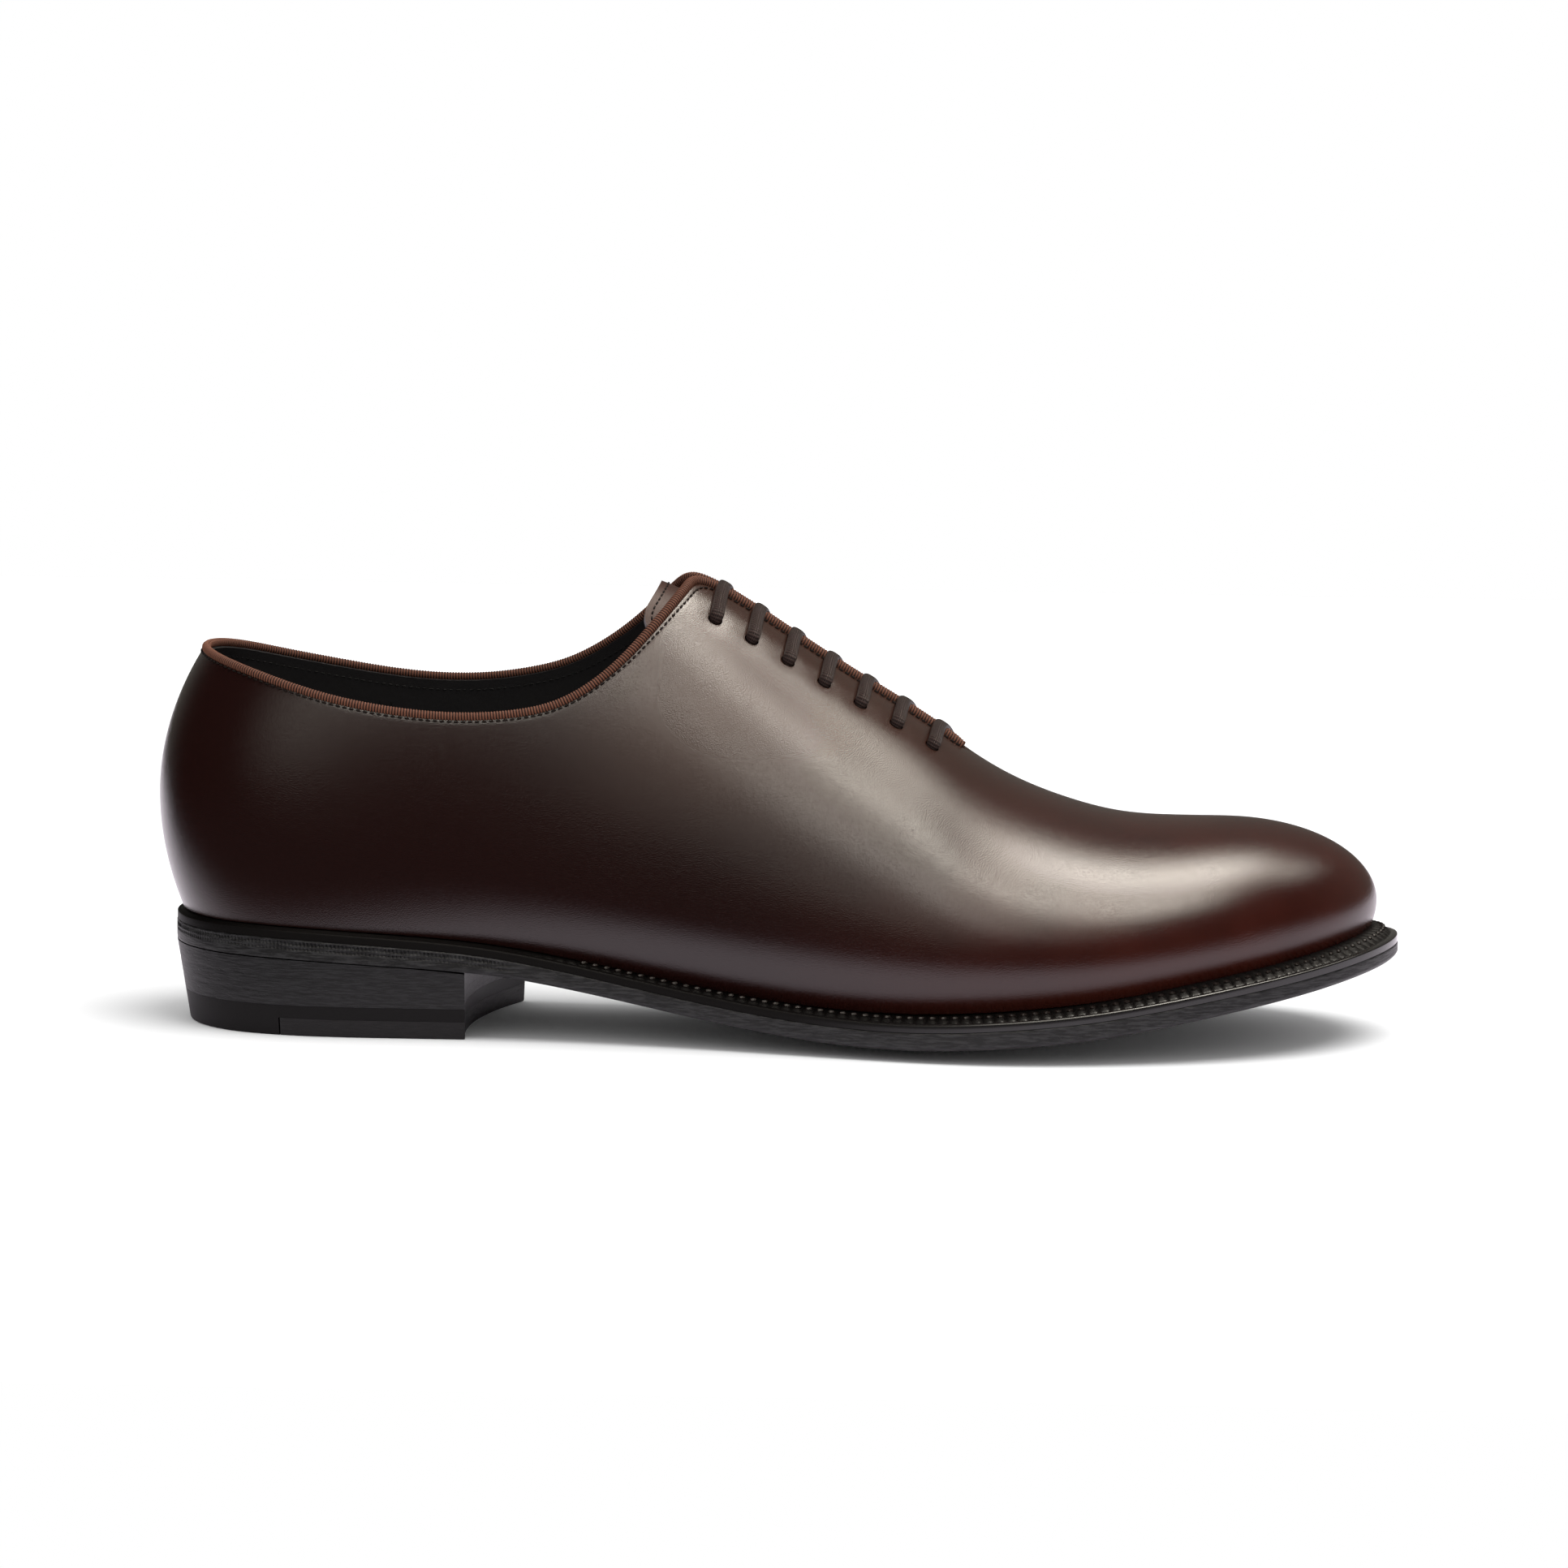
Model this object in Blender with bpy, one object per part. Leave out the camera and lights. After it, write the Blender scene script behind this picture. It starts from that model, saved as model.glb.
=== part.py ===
"""Wholecut oxford, right shoe, as closed solids.

Frame: toe toward +X, outer (lateral) side toward -Y, +Z up, floor at Z = 0.
Every table and size is in millimetres; add_piece turns them into metres.
A place round the shoe is t: 0 at the heel's back, 1 at the toe's tip along the
lateral side, and on to 2 back at the heel along the medial side.
A place up the upper is v: 0 at the sole, 1 at the ridge over the instep.
"""
import bmesh
import bpy
import numpy as np

METRE = 0.001
CLEARANCE = 0.3
WELD = 0.02

# Sole unit
SOLE_OUTLINE = np.array([
    # x, lateral y, medial y
    (-147.5, 2.5, 2.5),
    (-144.6, -10.5, 15.5),
    (-136.0, -21.5, 26.5),
    (-121.0, -28.5, 33.3),
    (-98.0, -31.0, 35.0),
    (-65.0, -31.0, 32.5),
    (-35.0, -33.5, 28.0),
    (-5.0, -39.5, 29.5),
    (25.0, -47.0, 38.0),
    (50.0, -51.5, 47.5),
    (72.0, -51.0, 51.5),
    (97.0, -46.5, 48.8),
    (118.0, -39.0, 42.0),
    (130.0, -32.0, 36.0),
    (141.0, -22.0, 27.5),
    (149.0, -10.0, 16.5),
    (152.3, 3.5, 3.5),
])
SOLE_LINE = np.array([
    # x, height of the welt's outer edge, rise of its top to the upper,
    # thickness of the outsole's edge, crown of its underside
    (-150.0, 26.9, 0.5, 4.6, 0.0),
    (-120.0, 26.4, 0.5, 4.6, 0.0),
    (-95.0, 25.2, 0.5, 4.5, 0.0),
    (-70.0, 23.1, 0.5, 4.2, 0.3),
    (-45.0, 18.9, 0.6, 3.9, 0.9),
    (-20.0, 14.2, 0.7, 3.8, 1.6),
    (5.0, 10.7, 0.9, 4.0, 3.0),
    (30.0, 9.4, 1.1, 4.2, 3.7),
    (55.0, 10.5, 1.3, 4.2, 3.6),
    (80.0, 13.0, 1.5, 4.1, 2.4),
    (105.0, 17.1, 1.7, 3.8, 1.4),
    (130.0, 21.4, 1.8, 3.4, 0.8),
    (154.0, 25.9, 1.8, 3.0, 0.4),
])
WELT_WIDTH = np.array([
    # x, lateral, medial: sole edge to the foot of the upper
    (-150.0, 1.6, 1.6),
    (-100.0, 2.0, 2.0),
    (-50.0, 4.0, 2.5),
    (0.0, 5.6, 3.2),
    (50.0, 6.8, 5.6),
    (100.0, 7.0, 6.8),
    (154.0, 7.2, 7.2),
])
WELT_EDGE_THICK = 2.0
WELT_EDGE_INSET = 0.4
WELT_UNDER_UPPER = 2.4
OUTSOLE_TOP_BEVEL = 0.4
OUTSOLE_FOOT_BEVEL = 1.0

# Heel
HEEL_LATERAL_CORNER = -74.0
HEEL_MEDIAL_CORNER = -63.5
HEEL_BREAST_SAG = 4.2
HEEL_TOP_INSET = 0.9
HEEL_TAPER = 0.13
HEEL_SEAT = 18.6
RUBBER_TOP = 7.6
INSERT_TOP = 4.4
RUBBER_JOINT = 0.49

# Upper: the last it was pulled over
RIDGE = np.array([
    # x, y, z along the top of the last; the part over the collar is only a guide
    (-100.0, 3.0, 120.6),
    (-60.0, 4.0, 119.8),
    (-40.0, 4.5, 117.0),
    (-20.0, 5.0, 110.4),
    (0.0, 5.2, 98.3),
    (20.0, 5.5, 85.5),
    (40.0, 5.8, 73.0),
    (48.0, 5.8, 67.4),
    (56.0, 5.6, 62.7),
    (70.0, 5.2, 57.0),
    (84.0, 4.8, 53.6),
    (96.0, 4.4, 52.9),
    (112.0, 4.0, 53.2),
])
HEEL_POLE = -95.0
TOE_POLE = 108.0
POLE_SOFTNESS = 10.0
SECTIONS = np.array([
    # x, lateral swell, medial swell, lateral rise, medial rise,
    # side fullness, lateral top fullness, medial top fullness
    (-150.0, 6.1, 6.1, 29.0, 29.0, 0.46, 0.55, 0.55),
    (-125.0, 4.4, 4.2, 25.0, 25.0, 0.50, 0.55, 0.55),
    (-95.0, 3.6, 3.4, 21.0, 22.0, 0.55, 0.55, 0.55),
    (-60.0, 4.2, 4.2, 19.0, 22.0, 0.55, 0.54, 0.55),
    (-20.0, 5.2, 6.0, 18.0, 22.0, 0.54, 0.50, 0.52),
    (20.0, 4.6, 5.6, 16.0, 19.0, 0.52, 0.47, 0.50),
    (55.0, 3.4, 3.6, 12.0, 13.5, 0.52, 0.47, 0.53),
    (85.0, 2.6, 2.6, 9.2, 9.6, 0.55, 0.53, 0.56),
    (115.0, 2.2, 2.2, 7.6, 7.8, 0.54, 0.60, 0.60),
    (154.0, 1.8, 1.8, 7.2, 7.2, 0.50, 0.63, 0.63),
])
GIRTH_V = 0.25
ROW_CROWDING = 1.5
WALL = 2.0
TOPLINE = np.array([
    # x, lateral z, medial z of the finished collar edge, carried on past the facings' tops
    (-160.0, 96.6, 96.6),
    (-141.0, 93.1, 93.1),
    (-128.0, 89.9, 89.4),
    (-110.0, 84.9, 85.4),
    (-92.0, 81.5, 82.8),
    (-75.0, 80.3, 82.6),
    (-62.0, 81.2, 84.6),
    (-53.0, 83.4, 87.4),
    (-45.0, 87.7, 91.8),
    (-37.0, 94.4, 97.9),
    (-29.0, 103.2, 105.6),
    (-22.0, 111.2, 112.8),
    (-10.0, 125.0, 126.0),
    (60.0, 200.0, 200.0),
])
THROAT_GAP = np.array([
    # x, half the gap between the finished edges; below zero the throat is shut
    (-160.0, -80.0),
    (-60.0, -80.0),
    (-40.0, 3.8),
    (-26.0, 3.4),
    (-15.0, 1.4),
    (-5.0, 0.5),
    (5.0, 0.25),
    (45.0, 0.2),
    (46.8, -2.2),
    (52.0, -8.0),
    (160.0, -60.0),
])
FACING_CORNER = 5.0
BEAD_GAP = 0.5
BEAD_RADIUS = np.array([
    # x, radius of the binding
    (-160.0, 1.1),
    (38.0, 1.1),
    (45.0, 0.6),
    (160.0, 0.6),
])

# Lace and its holes
LACE_BARS = 7
LACE_FIRST_X = -14.1
LACE_PITCH_X = 8.85
LACE_ASIDE = 15.4
LACE_SLANT_X = 1.3
LACE_HALF_WIDTH = 1.6
LACE_HALF_THICK = 0.85
LACE_RUN_RADIUS = 0.85
LACE_RUN_GAP = 0.5
LACE_TURN = 1.6
LACE_OVER_LEATHER = 1.45
HOLE_RADIUS = 2.3
HOLE_LENGTH = 7.0
HOLE_SIDES = 12

# Tongue and insole
TONGUE_FROM_X = -27.5
TONGUE_TO_X = 60.0
TONGUE_HALF_WIDTH = 21.0
TONGUE_THICK = 1.6
TONGUE_CORNER = 6.0
TONGUE_LEAN = 7.0
INSOLE_THICK = 3.2

CROSSING = 0.7
TINY_T = 2e-4
TINY_V = 1e-3

for leftover in list(bpy.data.objects):
    bpy.data.objects.remove(leftover)


# Curves


def spline(knots, values, query):
    """Natural cubic spline through rows of values at the knots, read at each query."""
    step = np.diff(knots)
    slope = np.diff(values, axis=0) / step[:, None]
    count = len(knots)
    inside = np.arange(1, count - 1)
    system = np.eye(count)
    system[inside, inside - 1] = step[:-1]
    system[inside, inside] = 2 * (step[:-1] + step[1:])
    system[inside, inside + 1] = step[1:]
    right = np.zeros_like(values)
    right[1:-1] = 6 * np.diff(slope, axis=0)
    bend = np.linalg.solve(system, right)
    span = np.clip(np.searchsorted(knots, query) - 1, 0, count - 2)
    width = step[span][:, None]
    before = (knots[span + 1][:, None] - query[:, None]) / width
    after = 1 - before
    straight = before * values[span] + after * values[span + 1]
    curved = (before ** 3 - before) * bend[span] + (after ** 3 - after) * bend[span + 1]
    return straight + curved * width ** 2 / 6


def table(rows, query):
    """Smooth reading of a table whose first column is x."""
    return spline(rows[:, 0], rows[:, 1:], query)


def outline_rows():
    """Knots and points of the closed sole outline; both sides share x and spacing."""
    lateral = SOLE_OUTLINE[:, [0, 1]]
    medial = SOLE_OUTLINE[:, [0, 2]]
    chord = (np.hypot(*np.diff(lateral, axis=0).T) + np.hypot(*np.diff(medial, axis=0).T)) / 2
    place = np.concatenate([[0.0], np.cumsum(chord)]) / chord.sum()
    knots = np.concatenate([place, 2 - place[-2:0:-1]])
    points = np.vstack([lateral, medial[-2:0:-1]])
    return np.concatenate([knots - 2, knots, knots + 2]), np.vstack([points] * 3)


OUTLINE_KNOTS, OUTLINE_POINTS = outline_rows()


def sole_edge(t, inset):
    """Plan point on the sole outline, moved in square to it by the inset."""
    t = np.mod(t, 2.0)
    point = spline(OUTLINE_KNOTS, OUTLINE_POINTS, t)
    ahead = spline(OUTLINE_KNOTS, OUTLINE_POINTS, t + TINY_T)
    behind = spline(OUTLINE_KNOTS, OUTLINE_POINTS, t - TINY_T)
    along = ahead - behind
    outward = np.stack([along[:, 1], -along[:, 0]], axis=1)
    outward /= np.linalg.norm(outward, axis=1)[:, None]
    return point - np.broadcast_to(inset, t.shape)[:, None] * outward


def station(x):
    """Lateral t of an outline x."""
    t = np.linspace(0.0, 1.0, 2001)
    return np.interp(x, sole_edge(t, 0.0)[:, 0], t)


def is_lateral(t):
    return np.mod(t, 2.0) <= 1.0


def by_side(t, lateral, medial):
    return np.where(is_lateral(t), lateral, medial)


# The last


def feather_inset(t):
    """Distance from the sole edge in to the foot of the upper."""
    width = table(WELT_WIDTH, sole_edge(t, 0.0)[:, 0])
    return by_side(t, width[:, 0], width[:, 1])


def seat_height(x):
    """Top of the welt where the upper stands on it."""
    row = table(SOLE_LINE, x)
    return row[:, 0] + row[:, 1]


def feather(t, further=0.0):
    """Foot of the upper on the seat, moved further in if asked."""
    plan = sole_edge(t, feather_inset(t) + further)
    return np.column_stack([plan, seat_height(plan[:, 0]) + CLEARANCE])


def soft_step(distance):
    """Positive distance as it is, negative distance faded to zero."""
    return POLE_SOFTNESS * np.logaddexp(0.0, distance / POLE_SOFTNESS)


def ridge(x):
    """Ridge point for a sole-edge x, and the ridge's slope there; x stops softly at both poles."""
    x = HEEL_POLE + soft_step(x - HEEL_POLE)
    x = TOE_POLE - soft_step(TOE_POLE - x)
    rows = table(RIDGE, x)
    slope = (table(RIDGE, x + 0.5) - table(RIDGE, x - 0.5))[:, 1]
    return np.column_stack([x, rows]), slope


def last(t, v):
    """Outer face: a parabola from the foot out to the girth, then a cubic over to the ridge."""
    x = sole_edge(t, 0.0)[:, 0]
    foot = feather(t)
    top, slope = ridge(x)
    row = table(SECTIONS, x)
    swell = by_side(t, row[:, 0], row[:, 1])
    rise = by_side(t, row[:, 2], row[:, 3])
    top_fullness = by_side(t, row[:, 5], row[:, 6])
    reach = top[:, :2] - foot[:, :2]
    span = np.linalg.norm(reach, axis=1)
    inward = reach / span[:, None]
    span = span + swell
    girth = foot.copy()
    girth[:, :2] -= swell[:, None] * inward
    girth[:, 2] += rise
    under = girth.copy()
    under[:, 2] -= rise / 2
    over = girth.copy()
    over[:, 2] += row[:, 4] * (top[:, 2] - girth[:, 2])
    level = np.column_stack([inward, slope * inward[:, 0]])
    crest = top - (top_fullness * span)[:, None] * level
    low = np.clip(v / GIRTH_V, 0.0, 1.0)[:, None]
    high = np.clip((v - GIRTH_V) / (1 - GIRTH_V), 0.0, 1.0)[:, None]
    lower = (1 - low) ** 2 * foot + 2 * low * (1 - low) * under + low ** 2 * girth
    upper = ((1 - high) ** 3 * girth + 3 * high * (1 - high) ** 2 * over
             + 3 * high ** 2 * (1 - high) * crest + high ** 3 * top)
    return np.where(v[:, None] < GIRTH_V, lower, upper)


def outward(t, v):
    """Unit normal of the last, from small steps along and up; on the ridge, square to the ridge line."""
    near = np.clip(v, 2 * TINY_V, 1 - 10 * TINY_V)
    along = last(t + TINY_T, near) - last(t - TINY_T, near)
    up = last(t, near + TINY_V) - last(t, near - TINY_V)
    slope = ridge(sole_edge(t, 0.0)[:, 0])[1]
    on_ridge = np.column_stack([-slope, np.zeros(t.shape), np.ones(t.shape)])
    normal = np.where((v >= 1.0)[:, None], on_ridge, np.cross(along, up))
    return normal / np.linalg.norm(normal, axis=1)[:, None]


def shifted(t, v, height):
    """Point at a height over the last's face; below zero is inside."""
    return last(t, v) + np.broadcast_to(height, t.shape)[:, None] * outward(t, v)


# Collar and throat edge


def soft_min(first, second, blend):
    mix = np.clip(0.5 + (second - first) / (2 * blend), 0.0, 1.0)
    return second * (1 - mix) + first * mix - blend * mix * (1 - mix)


def edge_distance(t, v):
    """Distance in from the finished collar and throat edge, with the facings' corners rounded."""
    point = last(t, v)
    x = point[:, 0]
    line = table(TOPLINE, x)
    tilt = table(TOPLINE, x + 0.5) - table(TOPLINE, x - 0.5)
    height = by_side(t, line[:, 0], line[:, 1]) - point[:, 2]
    below = height / np.hypot(1.0, by_side(t, tilt[:, 0], tilt[:, 1]))
    aside = np.abs(point[:, 1] - table(RIDGE, x)[:, 0]) - np.interp(x, *THROAT_GAP.T)
    return soft_min(below, aside, FACING_CORNER)


def bead_radius(t, v):
    return np.interp(last(t, v)[:, 0], *BEAD_RADIUS.T)


def edge_v(t, bead_widths, gap):
    """Highest v kept at each t: so many bead radii and a gap in from the finished edge."""
    low = np.full(t.shape, GIRTH_V)
    high = np.ones(t.shape)
    for _ in range(40):
        middle = (low + high) / 2
        kept = edge_distance(t, middle) > bead_widths * bead_radius(t, middle) + gap
        low = np.where(kept, middle, low)
        high = np.where(kept, high, middle)
    return np.where(low > 1 - 1e-6, 1.0, low)


def at_ridge_distance(x, aside):
    """t and v of the face at an x and a distance from the ridge; lateral is below zero."""
    t = station(x)
    t = np.where(aside < 0, t, 2 - t)
    low = np.full(t.shape, GIRTH_V)
    high = np.ones(t.shape)
    for _ in range(40):
        middle = (low + high) / 2
        point = last(t, middle)
        outside = np.abs(point[:, 1] - table(RIDGE, point[:, 0])[:, 0]) > np.abs(aside)
        low = np.where(outside, middle, low)
        high = np.where(outside, high, middle)
    return t, low


# Meshes


def add_piece(name, points, faces, colour, roughness):
    """Weld the points, drop collapsed faces, turn all faces outward and give the piece its material."""
    mesh = bpy.data.meshes.new(name)
    mesh.from_pydata((np.asarray(points) * METRE).tolist(), [], faces)
    work = bmesh.new()
    work.from_mesh(mesh)
    bmesh.ops.remove_doubles(work, verts=work.verts, dist=WELD * METRE)
    bmesh.ops.recalc_face_normals(work, faces=work.faces)
    work.to_mesh(mesh)
    work.free()
    material = bpy.data.materials.new(name)
    material.use_nodes = True
    shader = material.node_tree.nodes["Principled BSDF"]
    shader.inputs["Base Color"].default_value = (*colour, 1.0)
    shader.inputs["Roughness"].default_value = roughness
    mesh.materials.append(material)
    piece = bpy.data.objects.new(name, mesh)
    bpy.context.scene.collection.objects.link(piece)
    return piece


def plate(levels):
    """Closed solid from grids stacked top to bottom; middle grids only shape the sides."""
    rows, across = levels[0].shape[:2]
    size = rows * across
    number = np.arange(size).reshape(rows, across)
    rim = np.concatenate([number[:, 0], number[-1, 1:], number[-2::-1, -1], number[0, -2:0:-1]])
    quads = np.stack([number[:-1, :-1], number[1:, :-1], number[1:, 1:], number[:-1, 1:]], axis=-1)
    quads = quads.reshape(-1, 4)
    faces = [quads, quads[:, ::-1] + size * (len(levels) - 1)]
    following = np.roll(rim, -1)
    for level in range(len(levels) - 1):
        top = size * level
        bottom = top + size
        faces.append(np.column_stack([rim + top, following + top, following + bottom, rim + bottom]))
    points = np.concatenate([grid.reshape(-1, 3) for grid in levels])
    return points, np.concatenate(faces).tolist()


def tube(path, first_side, half_side, half_up, sides):
    """Oval tube along a path.

    The oval's side is carried from ring to ring, and lies along the first side wherever the path
    runs across it.
    """
    heading = np.gradient(path, axis=0)
    heading /= np.linalg.norm(heading, axis=1)[:, None]
    angle = np.arange(sides) * 2 * np.pi / sides
    guide = np.asarray(first_side, float) / np.linalg.norm(first_side)
    side = guide
    rings = []
    for place, ahead, wide, tall in zip(path, heading, half_side, half_up):
        squared = guide - ahead * (guide @ ahead)
        if np.linalg.norm(squared) > CROSSING:
            side = squared * np.sign(squared @ side)
        side = side - ahead * (side @ ahead)
        side /= np.linalg.norm(side)
        up = np.cross(ahead, side)
        rings.append(place + np.outer(wide * np.cos(angle), side) + np.outer(tall * np.sin(angle), up))
    count = len(path)
    number = np.arange(count * sides).reshape(count, sides)
    beside = np.roll(number, -1, axis=1)
    walls = np.stack([number[:-1], beside[:-1], beside[1:], number[1:]], axis=-1).reshape(-1, 4)
    ends = [number[0, ::-1].tolist(), number[-1].tolist()]
    return np.concatenate(rings), walls.tolist() + ends


def even_steps(path, count):
    """The path read again at even distances."""
    length = np.concatenate([[0.0], np.cumsum(np.linalg.norm(np.diff(path, axis=0), axis=1))])
    wanted = np.linspace(0.0, length[-1], count)
    return np.column_stack([np.interp(wanted, length, column) for column in path.T])


def between(start, end, spacing):
    """Steps on a straight, without its ends."""
    steps = int(np.linalg.norm(end - start) / spacing) + 1
    return start + np.linspace(0.0, 1.0, steps + 1)[1:-1, None] * (end - start)


def rounded_corners(corners, radius, arc_steps, spacing):
    """Polyline with each corner turned by a short curve, steps added on the straights."""
    corners = np.asarray(corners, float)
    pieces = [corners[:1]]
    curve = np.linspace(0.0, 1.0, arc_steps)[:, None]
    for before, corner, after in zip(corners[:-2], corners[1:-1], corners[2:]):
        back = before - corner
        ahead = after - corner
        start = corner + back * min(0.45, radius / np.linalg.norm(back))
        end = corner + ahead * min(0.45, radius / np.linalg.norm(ahead))
        pieces.append(between(pieces[-1][-1], start, spacing))
        pieces.append((1 - curve) ** 2 * start + 2 * curve * (1 - curve) * corner + curve ** 2 * end)
    pieces.append(between(pieces[-1][-1], corners[-1], spacing))
    pieces.append(corners[-1:])
    return np.concatenate(pieces)


# Sole unit


def sole_stations(count):
    """Even steps of t from the heel's back to the toe's tip."""
    return np.linspace(0.0, 1.0, count)


def across_grid(lateral, medial, across):
    """Straight rows of points from the lateral to the medial edge."""
    share = np.linspace(0.0, 1.0, across)[None, :, None]
    return lateral[:, None, :] * (1 - share) + medial[:, None, :] * share


def sole_grid(stations, inset_of, across):
    """Plan grid inside the sole outline, z still zero."""
    lateral = sole_edge(stations, inset_of(stations))
    medial = sole_edge(2 - stations, inset_of(2 - stations))
    grid = across_grid(lateral, medial, across)
    return np.concatenate([grid, np.zeros(grid.shape[:2] + (1,))], axis=-1)


def set_height(grid, height_of):
    """Grid with z from a function of x and of the share of the way across; both tips count as edge."""
    share = np.tile(np.linspace(-1.0, 1.0, grid.shape[1]), (grid.shape[0], 1))
    share[[0, -1]] = 1.0
    flat = grid.reshape(-1, 3).copy()
    flat[:, 2] = height_of(flat[:, 0], share.reshape(-1))
    return flat.reshape(grid.shape)


def outsole_top(x):
    return table(SOLE_LINE, x)[:, 0] - WELT_EDGE_THICK - CLEARANCE


def outsole_foot(x, share):
    """Underside of the outsole: crowned across and never below the floor."""
    row = table(SOLE_LINE, x)
    crown = row[:, 3] * (1 - share ** 2)
    return np.maximum(outsole_top(x) - row[:, 2] - crown, 0.0)


def make_outsole():
    stations = sole_stations(41)
    across = 7
    edge = sole_grid(stations, lambda t: np.zeros(t.shape), across)
    top = sole_grid(stations, lambda t: np.full(t.shape, OUTSOLE_TOP_BEVEL), across)
    foot = sole_grid(stations, lambda t: np.full(t.shape, OUTSOLE_FOOT_BEVEL), across)
    levels = [
        set_height(top, lambda x, share: outsole_top(x)),
        set_height(edge, lambda x, share: outsole_top(x) - OUTSOLE_TOP_BEVEL),
        set_height(edge, lambda x, share: outsole_foot(x, np.ones(x.shape)) + OUTSOLE_FOOT_BEVEL),
        set_height(foot, outsole_foot),
    ]
    return add_piece("outsole", *plate(levels), (0.02, 0.017, 0.016), 0.45)


def welt_foot(x):
    return outsole_top(x) + CLEARANCE


def make_welt():
    """Ring with a five-point section: sloped top outside the upper, level top under it."""
    t = np.linspace(0.0, 2.0, 73)[:-1]
    edge = np.full(t.shape, WELT_EDGE_INSET)
    foot = feather_inset(t)
    section = [
        (edge, welt_foot),
        (edge, lambda x: table(SOLE_LINE, x)[:, 0]),
        (foot, seat_height),
        (foot + WELT_UNDER_UPPER, seat_height),
        (foot + WELT_UNDER_UPPER, welt_foot),
    ]
    rings = []
    for inset, height_of in section:
        plan = sole_edge(t, inset)
        rings.append(np.column_stack([plan, height_of(plan[:, 0])]))
    count = len(t)
    number = np.arange(count * len(section)).reshape(len(section), count)
    beside = np.roll(number, -1, axis=1)
    faces = np.stack([number, beside, np.roll(beside, -1, axis=0), np.roll(number, -1, axis=0)], axis=-1)
    faces = faces.reshape(-1, 4).tolist()
    return add_piece("welt", np.concatenate(rings), faces, (0.02, 0.016, 0.015), 0.4)


def heel_grid(shares, height_of, across):
    """Heel plan at a height: the sole outline tapered in, ended by the curved breast."""
    lateral_end = station(np.array([HEEL_LATERAL_CORNER]))
    medial_end = station(np.array([HEEL_MEDIAL_CORNER]))
    lateral_t = shares * lateral_end
    medial_t = 2 - shares * medial_end
    height = height_of(sole_edge(lateral_t, 0.0)[:, 0])
    inset = HEEL_TOP_INSET + HEEL_TAPER * (HEEL_SEAT - height)
    grid = across_grid(sole_edge(lateral_t, inset), sole_edge(medial_t, inset), across)
    way = np.linspace(-1.0, 1.0, across)
    grid[:, :, 0] -= (shares ** 3)[:, None] * HEEL_BREAST_SAG * (1 - way ** 2)
    level = np.column_stack([height_of(column) for column in grid[:, :, 0].T])
    return np.concatenate([grid, level[:, :, None]], axis=-1)


def under_outsole(x):
    return outsole_foot(x, np.zeros(x.shape)) - CLEARANCE


def make_heel():
    """Leather lifts, rubber top piece with a full back and thin front, leather front under it."""
    across = 9
    back = 1 - np.cos(np.linspace(0.0, np.pi / 2, 9))
    shares = np.concatenate([back[:-1] * RUBBER_JOINT, np.linspace(RUBBER_JOINT, 1.0, 7)])
    stack_foot = RUBBER_TOP + CLEARANCE
    stack = [
        heel_grid(shares, under_outsole, across),
        heel_grid(shares, lambda x: x * 0 + stack_foot, across),
    ]
    add_piece("heel_stack", *plate(stack), (0.025, 0.021, 0.02), 0.5)
    rubber_back = shares[shares < RUBBER_JOINT]
    rubber_shares = np.concatenate([rubber_back, [RUBBER_JOINT], shares[shares >= RUBBER_JOINT]])
    stepped = np.concatenate([np.zeros(len(rubber_back) + 1), np.full(np.sum(shares >= RUBBER_JOINT), 1.0)])
    rubber_foot = stepped * (INSERT_TOP + CLEARANCE)
    rubber = [
        heel_grid(rubber_shares, lambda x: x * 0 + RUBBER_TOP, across),
        heel_grid(rubber_shares, lambda x: rubber_foot, across),
    ]
    add_piece("heel_rubber", *plate(rubber), (0.012, 0.012, 0.012), 0.55)
    insert_shares = shares[shares >= RUBBER_JOINT].copy()
    insert_shares[0] += 0.005
    insert = [
        heel_grid(insert_shares, lambda x: x * 0 + INSERT_TOP, across),
        heel_grid(insert_shares, lambda x: x * 0, across),
    ]
    add_piece("heel_insert", *plate(insert), (0.03, 0.026, 0.024), 0.6)


def make_insole():
    stations = sole_stations(27)
    across = 5
    plan = sole_grid(stations, lambda t: feather_inset(t) + WELT_UNDER_UPPER + CLEARANCE, across)
    levels = [
        set_height(plan, lambda x, share: seat_height(x) + INSOLE_THICK),
        set_height(plan, lambda x, share: outsole_top(x) + CLEARANCE),
    ]
    return add_piece("insole", *plate(levels), (0.03, 0.02, 0.016), 0.6)


# Upper and its trim


def upper_columns():
    """Stations of t for one side: close together round the facing's corner and the lace holes."""
    spans = [(-98.0, -58.0, 6), (-58.0, -30.0, 8), (-30.0, -12.0, 10), (-12.0, 45.0, 9), (45.0, 47.0, 1),
             (47.0, 97.0, 6)]
    pieces = [np.linspace(0.0, station(-98.0), 10)[:-1]]
    for start, end, count in spans:
        pieces.append(station(np.linspace(start, end, count + 1)[:-1]))
    pieces.append(np.linspace(station(97.0), 1.0, 9))
    return np.concatenate(pieces)


def lace_places(side):
    """x of each lace bar's end on one side; the bars slant, their lateral ends further back."""
    return LACE_FIRST_X + LACE_PITCH_X * np.arange(LACE_BARS) + side * LACE_SLANT_X


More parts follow.
